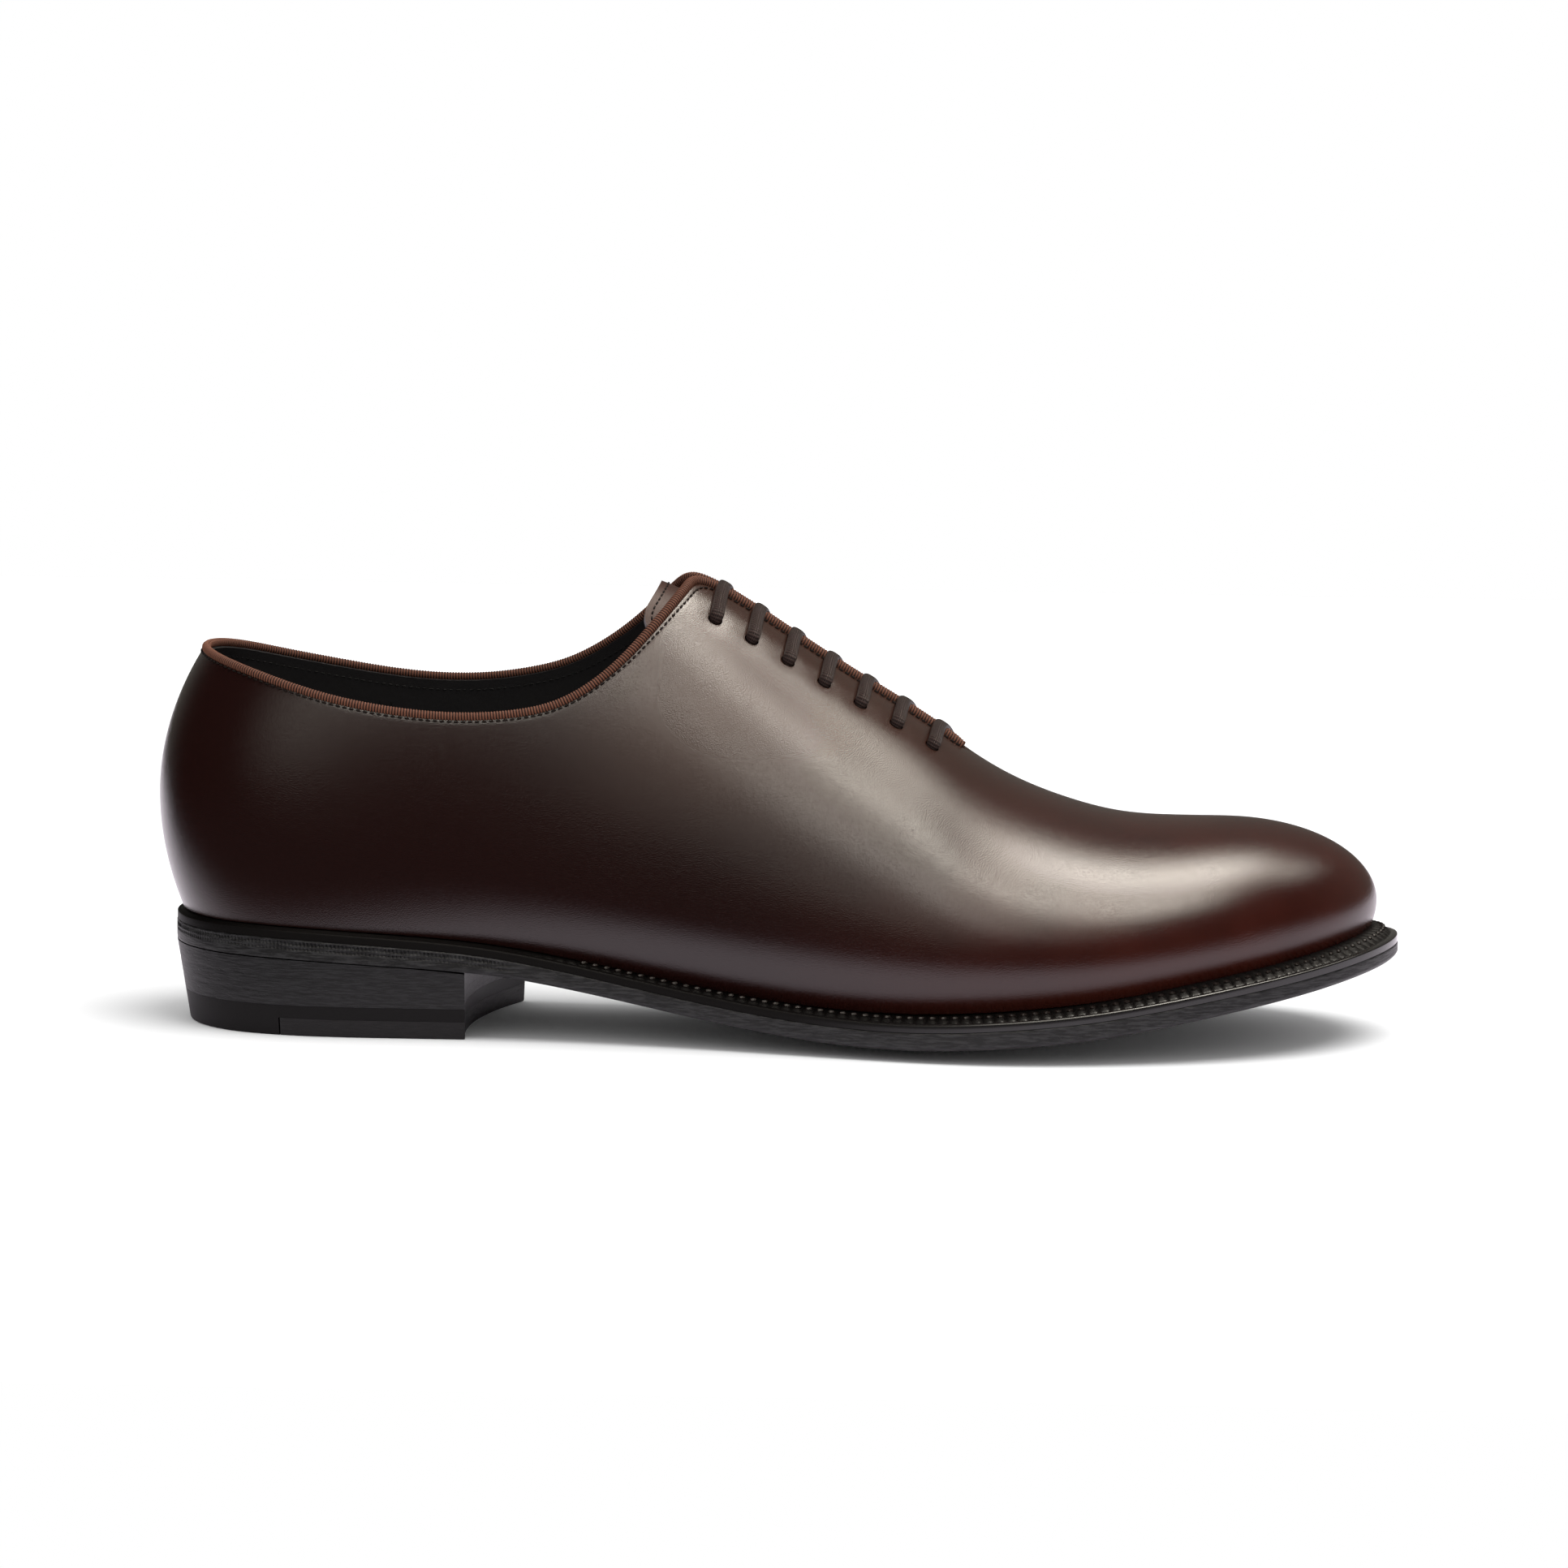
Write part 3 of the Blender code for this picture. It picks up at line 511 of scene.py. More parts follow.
def outline_rows():
    """Knots and points of the closed sole outline; both sides share x and spacing."""
    lateral = SOLE_OUTLINE[:, [0, 1]]
    medial = SOLE_OUTLINE[:, [0, 2]]
    chord = (np.hypot(*np.diff(lateral, axis=0).T) + np.hypot(*np.diff(medial, axis=0).T)) / 2
    place = np.concatenate([[0.0], np.cumsum(chord)]) / chord.sum()
    knots = np.concatenate([place, 2 - place[-2:0:-1]])
    points = np.vstack([lateral, medial[-2:0:-1]])
    return np.concatenate([knots - 2, knots, knots + 2]), np.vstack([points] * 3)


OUTLINE_KNOTS, OUTLINE_POINTS = outline_rows()


def sole_edge(t, inset):
    """Plan point on the sole outline, moved in square to it by the inset."""
    t = np.mod(t, 2.0)
    point = spline(OUTLINE_KNOTS, OUTLINE_POINTS, t)
    ahead = spline(OUTLINE_KNOTS, OUTLINE_POINTS, t + TINY_T)
    behind = spline(OUTLINE_KNOTS, OUTLINE_POINTS, t - TINY_T)
    along = ahead - behind
    outward_plan = np.stack([along[:, 1], -along[:, 0]], axis=1)
    outward_plan /= np.linalg.norm(outward_plan, axis=1)[:, None]
    return point - np.broadcast_to(inset, t.shape)[:, None] * outward_plan


def station(x):
    """Lateral t of an outline x."""
    t = np.linspace(0.0, 1.0, STATION_STEPS)
    return np.interp(x, sole_edge(t, 0.0)[:, 0], t)


def by_side(t, lateral, medial):
    """The lateral value up to t = 1, the medial one after it."""
    return np.where(np.mod(t, 2.0) <= 1.0, lateral, medial)


def travelled(points):
    """Distance along a path of points, from its start."""
    return np.concatenate([[0.0], np.cumsum(np.linalg.norm(np.diff(points, axis=0), axis=1))])


def fade(value, start, end):
    """Smooth step from 0 at start to 1 at end."""
    share = np.clip((value - start) / (end - start), 0.0, 1.0)
    return share * share * (3 - 2 * share)


def unit(vectors):
    """Vectors of length one."""
    return vectors / np.linalg.norm(vectors, axis=-1, keepdims=True)


# The last


def feather_inset(t):
    """Distance from the sole edge in to the foot of the upper."""
    width = table(WELT_WIDTH, sole_edge(t, 0.0)[:, 0])
    return by_side(t, width[:, 0], width[:, 1])


def seat_height(x):
    """Top of the welt where the upper stands on it."""
    row = table(SOLE_LINE, x)
    return row[:, 0] + row[:, 1]


def feather(t, further=0.0):
    """Foot of the upper on the seat, moved further in if asked."""
    plan = sole_edge(t, feather_inset(t) + further)
    return np.column_stack([plan, seat_height(plan[:, 0]) + CLEARANCE])


def soft_step(distance):
    """Positive distance as it is, negative distance faded to zero."""
    return POLE_SOFTNESS * np.logaddexp(0.0, distance / POLE_SOFTNESS)


def ridge(x):
    """Ridge point for a sole-edge x, and the ridge's slope there; x stops softly at both poles."""
    x = HEEL_POLE + soft_step(x - HEEL_POLE)
    x = TOE_POLE - soft_step(TOE_POLE - x)
    rows = table(RIDGE, x)
    slope = (table(RIDGE, x + HALF_STEP_X) - table(RIDGE, x - HALF_STEP_X))[:, 1]
    return np.column_stack([x, rows]), slope


def last(t, v):
    """Outer face: a parabola from the foot out to the girth, then a cubic over to the ridge."""
    x = sole_edge(t, 0.0)[:, 0]
    foot = feather(t)
    top, slope = ridge(x)
    row = table(SECTIONS, x)
    swell = by_side(t, row[:, 0], row[:, 1])
    rise = by_side(t, row[:, 2], row[:, 3])
    top_fullness = by_side(t, row[:, 5], row[:, 6])
    reach = top[:, :2] - foot[:, :2]
    span = np.linalg.norm(reach, axis=1)
    inward = reach / span[:, None]
    span = span + swell
    girth = foot.copy()
    girth[:, :2] -= swell[:, None] * inward
    girth[:, 2] += rise
    under = girth.copy()
    under[:, 2] -= rise / 2
    over = girth.copy()
    over[:, 2] += row[:, 4] * (top[:, 2] - girth[:, 2])
    level = np.column_stack([inward, slope * inward[:, 0]])
    crest = top - (top_fullness * span)[:, None] * level
    low = np.clip(v / GIRTH_V, 0.0, 1.0)[:, None]
    high = np.clip((v - GIRTH_V) / (1 - GIRTH_V), 0.0, 1.0)[:, None]
    lower = (1 - low) ** 2 * foot + 2 * low * (1 - low) * under + low ** 2 * girth
    upper = ((1 - high) ** 3 * girth + 3 * high * (1 - high) ** 2 * over
             + 3 * high ** 2 * (1 - high) * crest + high ** 3 * top)
    return np.where(v[:, None] < GIRTH_V, lower, upper)


def outward(t, v):
    """Unit normal of the last, from small steps along and up; on the ridge, square to the ridge line."""
    near = np.clip(v, 2 * TINY_V, 1 - NEAREST_RIDGE)
    along = last(t + TINY_T, near) - last(t - TINY_T, near)
    up = last(t, near + TINY_V) - last(t, near - TINY_V)
    slope = ridge(sole_edge(t, 0.0)[:, 0])[1]
    on_ridge = np.column_stack([-slope, np.zeros(t.shape), np.ones(t.shape)])
    return unit(np.where((v >= 1.0)[:, None], on_ridge, np.cross(along, up)))


def shifted(t, v, height):
    """Point at a height over the last's face; below zero is inside."""
    return last(t, v) + np.broadcast_to(height, t.shape)[:, None] * outward(t, v)


# Collar and throat edge


def soft_min(first, second, blend):
    """Smaller of two values, blended where they are close."""
    mix = np.clip(0.5 + (second - first) / (2 * blend), 0.0, 1.0)
    return second * (1 - mix) + first * mix - blend * mix * (1 - mix)


def ridge_distance(point):
    """Distance across the shoe from the ridge line."""
    return np.abs(point[:, 1] - table(RIDGE, point[:, 0])[:, 0])


def edge_distance(t, v):
    """Distance in from the finished collar and throat edge, with the facings' corners rounded."""
    point = last(t, v)
    x = point[:, 0]
    line = table(TOPLINE, x)
    tilt = table(TOPLINE, x + HALF_STEP_X) - table(TOPLINE, x - HALF_STEP_X)
    height = by_side(t, line[:, 0], line[:, 1]) - point[:, 2]
    below = height / np.hypot(1.0, by_side(t, tilt[:, 0], tilt[:, 1]))
    aside = ridge_distance(point) - np.interp(x, *THROAT_GAP.T)
    return soft_min(below, aside, FACING_CORNER)


def bead_radius(t, v):
    """Radius of the binding beside a place on the last."""
    return np.interp(last(t, v)[:, 0], BEAD[:, 0], BEAD[:, 1])


def bead_depth(t, v):
    """Depth of the binding's middle under the leather's face."""
    return np.interp(last(t, v)[:, 0], BEAD[:, 0], BEAD[:, 2])


def leather_edge_distance(t, v):
    """Distance in from the cut edge of the leather, which is tucked under the binding."""
    return edge_distance(t, v) - BEAD_FOOT * bead_radius(t, v) + TUCK


def highest_v(t, is_kept):
    """Highest v at each t for which the test holds, found by halving the span over the girth."""
    low = np.full(t.shape, GIRTH_V)
    high = np.ones(t.shape)
    for _ in range(HALVINGS):
        middle = (low + high) / 2
        kept = is_kept(middle)
        low = np.where(kept, middle, low)
        high = np.where(kept, high, middle)
    return low


def edge_v(t, bead_radii, gap):
    """Highest v kept at each t: so many bead radii and a gap in from the finished edge."""
    top = highest_v(t, lambda v: edge_distance(t, v) > bead_radii * bead_radius(t, v) + gap)
    return np.where(top > 1 - RIDGE_REACHED, 1.0, top)


def at_ridge_distance(x, aside):
    """t and v of the face at an x and a distance from the ridge; lateral is below zero."""
    t = station(x)
    t = np.where(aside < 0, t, 2 - t)
    return t, highest_v(t, lambda v: ridge_distance(last(t, v)) > np.abs(aside))


def along_edge(bead_radii, gap, count):
    """t and v of a line that runs beside the collar and throat edge, at even distances, and its length."""
    throat = station(THROAT_FOOT_X)
    t = np.linspace(throat, -throat, EDGE_STEPS)
    v = edge_v(t, bead_radii, gap)
    length = travelled(last(t, v))
    wanted = np.linspace(0.0, length[-1], count)
    return np.interp(wanted, length, t), np.interp(wanted, length, v), length[-1]


def lace_places(side):
    """x of each lace bar's end on one side; the bars slant, their lateral ends further back."""
    return LACE_FIRST_X + LACE_PITCH_X * np.arange(LACE_BARS) + side * LACE_SLANT_X


def lace_hole_places():
    """t and v of all lace holes."""
    x = np.concatenate([lace_places(-1), lace_places(1)])
    aside = np.repeat([-LACE_ASIDE, LACE_ASIDE], LACE_BARS)
    return at_ridge_distance(x, aside)


# Meshes


def grid_quads(rows, columns, first=0, around=False):
    """Point numbers of a grid's quads, stored row by row; around joins the last column to the first."""
    number = np.arange(rows * columns).reshape(rows, columns) + first
    beside = np.roll(number, -1, axis=1)
    quads = np.stack([number[:-1], beside[:-1], beside[1:], number[1:]], axis=-1)
    kept = columns if around else columns - 1
    return quads[:, :kept].reshape(-1, 4)


def grid_corners(along, around):
    """Two pattern coordinates for every quad corner of a grid: along its rows, and round its columns."""
    low = np.broadcast_to(along[:-1, None], (len(along) - 1, len(around) - 1))
    high = np.broadcast_to(along[1:, None], low.shape)
    left = np.broadcast_to(around[None, :-1], low.shape)
    right = np.broadcast_to(around[None, 1:], low.shape)
    corners = [(low, left), (low, right), (high, right), (high, left)]
    return np.stack([np.stack(pair, axis=-1) for pair in corners], axis=2).reshape(-1, 2)


def weld(mesh):
    """Merge points that coincide and drop the faces that collapse."""
    work = bmesh.new()
    work.from_mesh(mesh)
    bmesh.ops.remove_doubles(work, verts=work.verts, dist=WELD * METRE)
    work.to_mesh(mesh)
    work.free()


def turn_outward(mesh):
    """Flip a closed mesh whose signed volume, summed over its triangles, is below zero."""
    mesh.calc_loop_triangles()
    corners = np.empty(len(mesh.loop_triangles) * 3, np.int32)
    mesh.loop_triangles.foreach_get("vertices", corners)
    points = np.empty(len(mesh.vertices) * 3, np.float32)
    mesh.vertices.foreach_get("co", points)
    first, second, third = points.reshape(-1, 3).astype(float)[corners.reshape(-1, 3)].transpose(1, 0, 2)
    if np.einsum("ij,ij->", first, np.cross(second, third)) < 0:
        mesh.flip_normals()


def new_mesh(name, points, quads, corners=None):
    """Mesh of points in mm and quads, with a pattern map if corner coordinates are given."""
    mesh = bpy.data.meshes.new(name)
    mesh.from_pydata((np.asarray(points) * METRE).tolist(), [], np.asarray(quads).tolist())
    if corners is not None:
        layer = mesh.uv_layers.new(name="pattern")
        spare = np.zeros((len(mesh.loops) - len(corners), 2))
        layer.uv.foreach_set("vector", np.vstack([corners, spare]).astype(np.float32).ravel())
    weld(mesh)
    turn_outward(mesh)
    return mesh


def new_object(name, data):
    """Object linked to the scene."""
    made = bpy.data.objects.new(name, data)
    bpy.context.scene.collection.objects.link(made)
    return made


def put_in(name, mesh, finish, slot, *stands_for):
    """Piece of the shoe with its finish, shaded smooth but for sharp edges."""
    mesh.shade_smooth()
    mesh.set_sharp_from_angle(angle=SHARP_ANGLE)
    mesh.materials.clear()
    mesh.materials.append(finish)
    piece = new_object(name, mesh)
    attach(piece, "root")
    if stands_for:
        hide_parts(*stands_for)


def add_piece(name, surface, finish, slot, *stands_for, corners=None):
    """Piece of the shoe from a surface's points and quads."""
    put_in(name, new_mesh(name, *surface, corners), finish, slot, *stands_for)


def wall(outer, inner, is_open):
    """Closed wall: an outer and an inner grid, joined round the foot and along the open edge."""
    rows, columns = outer.shape[:2]
    first = rows * columns
    here = np.arange(columns)
    beside = np.roll(here, -1)
    outer_top = (rows - 1) * columns
    inner_top = first + (inner.shape[0] - 1) * columns
    foot = np.column_stack([here, here + first, beside + first, beside])
    edge = np.column_stack([beside + outer_top, beside + inner_top, here + inner_top, here + outer_top])
    quads = [
        grid_quads(rows, columns, 0, True),
        grid_quads(inner.shape[0], columns, first, True)[:, ::-1],
        foot,
        edge[is_open],
    ]
    return np.concatenate([outer.reshape(-1, 3), inner.reshape(-1, 3)]), np.concatenate(quads)


def plate(levels):
    """Closed solid from grids stacked top to bottom; middle grids only shape the sides."""
    rows, across = levels[0].shape[:2]
    size = rows * across
    number = np.arange(size).reshape(rows, across)
    rim = np.concatenate([number[:, 0], number[-1, 1:], number[-2::-1, -1], number[0, -2:0:-1]])
    following = np.roll(rim, -1)
    quads = grid_quads(rows, across)
    faces = [quads[:, ::-1], quads + size * (len(levels) - 1)]
    for level in range(len(levels) - 1):
        top = size * level
        bottom = top + size
        faces.append(np.column_stack([rim + top, following + top, following + bottom, rim + bottom]))
    return np.concatenate([grid.reshape(-1, 3) for grid in levels]), np.concatenate(faces)


def tube(rings):
    """Closed tube from rings of points, rings by sides by xyz, with a flat end on each end ring."""
    count, sides = rings.shape[:2]
    quads = grid_quads(count, sides, 0, True)
    points = rings.reshape(-1, 3)
    middle = rings[[0, -1]].mean(axis=1)
    turn = np.arange(sides)
    after = np.roll(turn, -1)
    start = np.column_stack([after, turn, np.full(sides, len(points)), np.full(sides, len(points))])
    end_first = (count - 1) * sides
    end = np.column_stack([turn + end_first, after + end_first, np.full(sides, len(points) + 1)])
    end = np.column_stack([end, end[:, 2]])
    return np.vstack([points, middle]), np.concatenate([quads, start, end])


def threads(middle, along, up, sizes):
    """Short stitches: ovals about each stitch's line, their radius the root of 1 - |u| cubed along it."""
    half_length, half_width, half_height = sizes
    lengthwise = np.linspace(-1.0, 1.0, THREAD_RINGS)
    angle = np.arange(THREAD_SIDES) * 2 * np.pi / THREAD_SIDES
    radius = np.sqrt(1 - np.abs(lengthwise) ** 3)
    along = unit(along)
    up = unit(up - along * (up * along).sum(1, keepdims=True))
    side = np.cross(along, up)
    ring = (np.cos(angle)[None, :, None] * half_width * side[:, None, :]
            + np.sin(angle)[None, :, None] * half_height * up[:, None, :])
    points = (middle[:, None, None, :]
              + (lengthwise * half_length)[None, :, None, None] * along[:, None, None, :]
              + radius[None, :, None, None] * ring[:, None, :, :])
    one = grid_quads(len(lengthwise), len(angle), 0, True)
    first = np.arange(len(middle)) * len(lengthwise) * len(angle)
    return points.reshape(-1, 3), (one[None] + first[:, None, None]).reshape(-1, 4)


# Finishes


def new_finish(name, kind=None):
    """Material of one Principled shader; values that are the same all over go on its own sockets."""
    colour, roughness, sockets = FINISHES[kind or name]
    finish = bpy.data.materials.new(name)
    finish.use_nodes = True
    tree = finish.node_tree
    shader = tree.nodes["Principled BSDF"]
    shader.inputs["Base Color"].default_value = (*colour, 1.0)
    shader.inputs["Roughness"].default_value = roughness
    for socket, value in sockets.items():
        shader.inputs[socket].default_value = value
    return finish, tree, shader


def node(tree, kind, inputs=(), **settings):
    """Shader node with its settings, and its inputs set or linked by name."""
    made = tree.nodes.new(kind)
    for name, value in settings.items():
        setattr(made, name, value)
    for socket, value in dict(inputs).items():
        if isinstance(value, bpy.types.NodeSocket):
            tree.links.new(value, made.inputs[socket])
        else:
            made.inputs[socket].default_value = value
    return made


def parts(tree, vector):
    """X, Y and Z of a vector."""
    return node(tree, "ShaderNodeSeparateXYZ", {"Vector": vector}).outputs


def object_place(tree, scale=(1.0, 1.0, 1.0)):
    """Object coordinates in metres, stretched if asked."""
    place = node(tree, "ShaderNodeTexCoord").outputs["Object"]
    return node(tree, "ShaderNodeMapping", {"Vector": place, "Scale": scale}).outputs["Vector"]


def pattern_place(tree):
    """The piece's own pattern map."""
    return node(tree, "ShaderNodeUVMap", uv_map="pattern").outputs["UV"]


def noise(tree, place, size, detail=2.0, rough=0.5):
    """Noise whose spots are about size metres across."""
    inputs = {"Vector": place, "Scale": 1.0 / size, "Detail": detail, "Roughness": rough}
    return node(tree, "ShaderNodeTexNoise", inputs).outputs["Fac"]


def math_node(tree, operation, first, second=0.0):
    """Result of one operation on two values."""
    return node(tree, "ShaderNodeMath", {0: first, 1: second}, operation=operation).outputs["Value"]


def product(tree, first, second):
    """First value times the second."""
    return math_node(tree, "MULTIPLY", first, second)


def total(tree, first, second):
    """Sum of two values."""
    return math_node(tree, "ADD", first, second)


def along_heading(tree, vector, heading):
    """Part of a vector that lies along a heading."""
    made = node(tree, "ShaderNodeVectorMath", {0: vector, 1: heading}, operation="DOT_PRODUCT")
    return made.outputs["Value"]


def spread(tree, value, low, high, to_low=0.0, to_high=1.0):
    """Value spread from one range to another and held at its ends."""
    inputs = {"Value": value, "From Min": low, "From Max": high, "To Min": to_low, "To Max": to_high}
    return node(tree, "ShaderNodeMapRange", inputs, interpolation_type="SMOOTHSTEP").outputs["Result"]


def mixed(tree, share, first, second):
    """Colour from first to second by the share."""
    made = node(tree, "ShaderNodeMix", {MIX_SHARE: share}, data_type="RGBA")
    for socket, value in ((made.inputs[MIX_FIRST], first), (made.inputs[MIX_SECOND], second)):
        if isinstance(value, bpy.types.NodeSocket):
            tree.links.new(value, socket)
        else:
            socket.default_value = (*value, 1.0)
    return made.outputs[MIX_RESULT]


def raise_surface(tree, shader, height, bump, before=None, coat=False):
    """Bump of a height, by its strength and depth, onto the shader's normal, and onto its coat if asked."""
    strength, depth = bump
    inputs = {"Height": height, "Strength": strength, "Distance": depth}
    if before is not None:
        inputs["Normal"] = before
    normal = node(tree, "ShaderNodeBump", inputs).outputs["Normal"]
    tree.links.new(normal, shader.inputs["Normal"])
    if coat:
        tree.links.new(normal, shader.inputs["Coat Normal"])
    return normal


def leather_grain(tree, place, pebble):
    """Height of fine pebbled grain: rounded cells plus noise a little finer than they are."""
    inputs = {"Vector": place, "Scale": 1.0 / pebble, "Smoothness": PEBBLE_SMOOTHNESS}
    cells = node(tree, "ShaderNodeTexVoronoi", inputs, feature="SMOOTH_F1")
    crumb = noise(tree, place, pebble * CRUMB_SHARE, detail=1.0)
    return total(tree, cells.outputs["Distance"], crumb)


def grained_finish(name, coat=False):
    """Leather of one colour with a pebbled grain, and the place, shader and normal to go on from."""
    finish, tree, shader = new_finish(name)
    pebble, bump = GRAINS[name]
    place = object_place(tree)
    normal = raise_surface(tree, shader, leather_grain(tree, place, pebble), bump, coat=coat)
    return finish, tree, shader, place, normal


def upper_finish():
    """Dark red-brown calf, darker toward the heel, browner beside the throat; fine grain under a polish."""
    finish, tree, shader, place, _ = grained_finish("upper_leather", coat=True)
    axes = parts(tree, place)
    cloud = spread(tree, noise(tree, place, CLOUD_SIZE, detail=3.0), *CLOUD_SPREAD)
    # share of the darker colour, rising from the vamp back toward the heel
    heelward = spread(tree, axes["X"], *HEELWARD_X)
    throat = product(tree, spread(tree, axes["Z"], *THROAT_TINT_Z), spread(tree, axes["X"], *THROAT_TINT_X))
    dye = mixed(tree, heelward, mixed(tree, cloud, *UPPER_DYES), HEELWARD_COLOUR)
    tree.links.new(mixed(tree, throat, dye, THROAT_DYE), shader.inputs["Base Color"])
    return finish


def lining_finish():
    """Near-black lining leather with a dull gloss and a soft crumpled grain."""
    finish, tree, shader, place, normal = grained_finish("lining_leather")
    raise_surface(tree, shader, noise(tree, place, CRUMPLE_SIZE), CRUMPLE_BUMP, normal)
    return finish


def binding_finish():
    """Woven tape: light brown rib tops, painted shade in the grooves between them, a little fluff."""
    finish, tree, shader = new_finish("binding_tape")
    axes = parts(tree, pattern_place(tree))
    ribs = total(tree, axes["X"], product(tree, axes["Y"], RIB_SLANT))
    crest = math_node(tree, "COSINE", product(tree, ribs, 2 * math.pi))
    fluff = noise(tree, object_place(tree), FLUFF_SIZE, detail=3.0)
    lift = total(tree, crest, product(tree, fluff, FLUFF_SHARE))
    # the dark end is painted shade in the rib grooves; the fluff's speckle is the tape's own
    tape = mixed(tree, spread(tree, lift, *TAPE_SPREAD), *SHADED_GROOVE_AND_TAPE)
    tree.links.new(tape, shader.inputs["Base Color"])
    raise_surface(tree, shader, fluff, FLUFF_BUMP)
    return finish


def thread_finish(name):
    """Twisted waxed thread: fine noise along and across it."""
    finish, tree, shader = new_finish(name)
    raise_surface(tree, shader, noise(tree, object_place(tree), TWIST_SIZE), TWIST_BUMP)
    return finish


def lace_finish():
    """Dark braided cotton: crossing strands light on their crowns, painted shade between them."""
    finish, tree, shader = new_finish("lace_braid")
    axes = parts(tree, pattern_place(tree))
    lengthwise = product(tree, axes["X"], 2 * math.pi / BRAID_PITCH)
    round_it = product(tree, axes["Y"], 2 * math.pi * BRAID_STRANDS)
    rising, falling = (math_node(tree, "SINE", math_node(tree, operation, lengthwise, round_it))
                       for operation in ("ADD", "SUBTRACT"))
    fibre = noise(tree, object_place(tree), FIBRE_SIZE)
    height = total(tree, product(tree, rising, falling), fibre)
    # painted shade between the strands, mixed by the braid's height
    shade = mixed(tree, spread(tree, height, *BRAID_SPREAD), *STRAND_SHADE_AND_BRAID)
    tree.links.new(shade, shader.inputs["Base Color"])
    raise_surface(tree, shader, height, BRAID_BUMP)
    return finish


def sole_edge_finish(name):
    """Blacked and waxed leather edge: fibres run along it as fine streaks, with small pits."""
    finish, tree, shader = new_finish(name)
    streaks = noise(tree, object_place(tree, STREAK_STRETCH), STREAK_SIZE, detail=4.0, rough=0.65)
    pits = noise(tree, object_place(tree, PIT_STRETCH), PIT_SIZE, detail=3.0, rough=0.7)
    shade = mixed(tree, spread(tree, streaks, *STREAK_SPREAD), FINISHES[name][0], STREAK_COLOURS[name])
    tree.links.new(shade, shader.inputs["Base Color"])
    normal = raise_surface(tree, shader, streaks, STREAK_BUMP)
    raise_surface(tree, shader, spread(tree, pits, *PIT_SPREAD), PIT_BUMP, normal)
    return finish


def welt_finish():
    """Waxed near-black welt: the lip polished toward the toe, the stitch bed and the heel dull."""
    finish, tree, shader = new_finish("welt_leather")
    row = parts(tree, pattern_place(tree))["X"]
    place = object_place(tree)
    lip = spread(tree, row, LIP_LAST_ROW + 1.0, LIP_LAST_ROW - 1.0)
    polish = product(tree, lip, spread(tree, parts(tree, place)["X"], *LIP_POLISH_X))
    tree.links.new(polish, shader.inputs["Coat Weight"])
    raise_surface(tree, shader, noise(tree, place, WAX_SIZE, detail=3.0, rough=0.6), WAX_BUMP)
    return finish


def rubber_finish():
    """Black rubber with a faint brown cast, smoother than the lifts over it."""
    finish, tree, shader = new_finish("heel_rubber")
    raise_surface(tree, shader, noise(tree, object_place(tree), RUBBER_SIZE), RUBBER_BUMP)
    return finish


# Upper, lining and trim


def side_places():
    """t of one side's columns: even steps, closer round the facing's corner and the foot of the throat."""
    return np.unique(np.concatenate([
        np.linspace(0.0, 1.0, SIDE_STEPS),
        station(np.linspace(*CORNER_SPAN, CORNER_STEPS)),
        station(np.linspace(*THROAT_FOOT_SPAN, THROAT_FOOT_STEPS)),
    ]))


def leather_height(t, v, holes):
    """Height of the outer face over the last: a rolled edge, the stitches' groove, dents at the lace holes.

    Each is a bell curve of a distance: to the cut edge, to the line of stitches, to every hole.
    """
    inward = np.maximum(leather_edge_distance(t, v), 0.0)
    roll = EDGE_ROLL * np.exp(-(inward / EDGE_ROLL_WIDTH) ** 2)
    from_stitches = edge_distance(t, v) - STITCH_BEAD_RADII * bead_radius(t, v) + STITCH_LESS
    groove = STITCH_GROOVE * np.exp(-(from_stitches / STITCH_GROOVE_HALF) ** 2)
    apart = np.linalg.norm(last(t, v)[:, None, :] - holes[None], axis=2)
    dent = LACE_DENT * np.exp(-(apart / LACE_DENT_RADIUS) ** 2).sum(1)
    return -roll - groove - dent


def layer_grid(t, top, rows, height, foot_depth):
    """Grid of a layer of the wall: rows crowd toward the open edge; the first row stands on the welt."""
    share = np.linspace(0.0, 1.0, rows)
    share = ROW_CROWDING * share - (ROW_CROWDING - 1) * share ** 2
    heights = (share[:, None] * top[None, :]).reshape(-1)
    columns = np.tile(t, rows)
    grid = shifted(columns, heights, height(columns, heights)).reshape(rows, len(t), 3)
    grid[0] = feather(t, foot_depth)
    return grid


def hole_cutter():
    """Round punches set square to the leather at both ends of every lace bar."""
    t, v = lace_hole_places()
    axis = outward(t, v)
    side = unit(np.cross(axis, np.array(THROAT_HEADING)))
    other = np.cross(axis, side)
    angle = np.arange(HOLE_SIDES)[None, :, None] * 2 * np.pi / HOLE_SIDES
    circle = HOLE_RADIUS * (np.cos(angle) * side[:, None] + np.sin(angle) * other[:, None])
    middle = shifted(t, v, -WALL / 2)
    ends = np.array([-HOLE_LENGTH / 2, HOLE_LENGTH / 2])
    rings = middle[:, None, None] + ends[None, :, None, None] * axis[:, None, None] + circle[:, None]
    punches = [tube(ring) for ring in rings]
    points = np.concatenate([punch[0] for punch in punches])
    size = len(punches[0][0])
    quads = np.concatenate([punch[1] + size * number for number, punch in enumerate(punches)])
    return new_object("lace_hole_cutter", new_mesh("lace_hole_cutter", points, quads))


def punched(mesh, cutter):
    """The mesh with the lace holes cut through it."""
    blank = new_object("blank", mesh)
    cut = blank.modifiers.new("lace holes", "BOOLEAN")
    cut.operation = "DIFFERENCE"
    cut.solver = "EXACT"
    cut.object = cutter
    graph = bpy.context.evaluated_depsgraph_get()
    made = bpy.data.meshes.new_from_object(blank.evaluated_get(graph))
    bpy.data.objects.remove(blank)
    return made


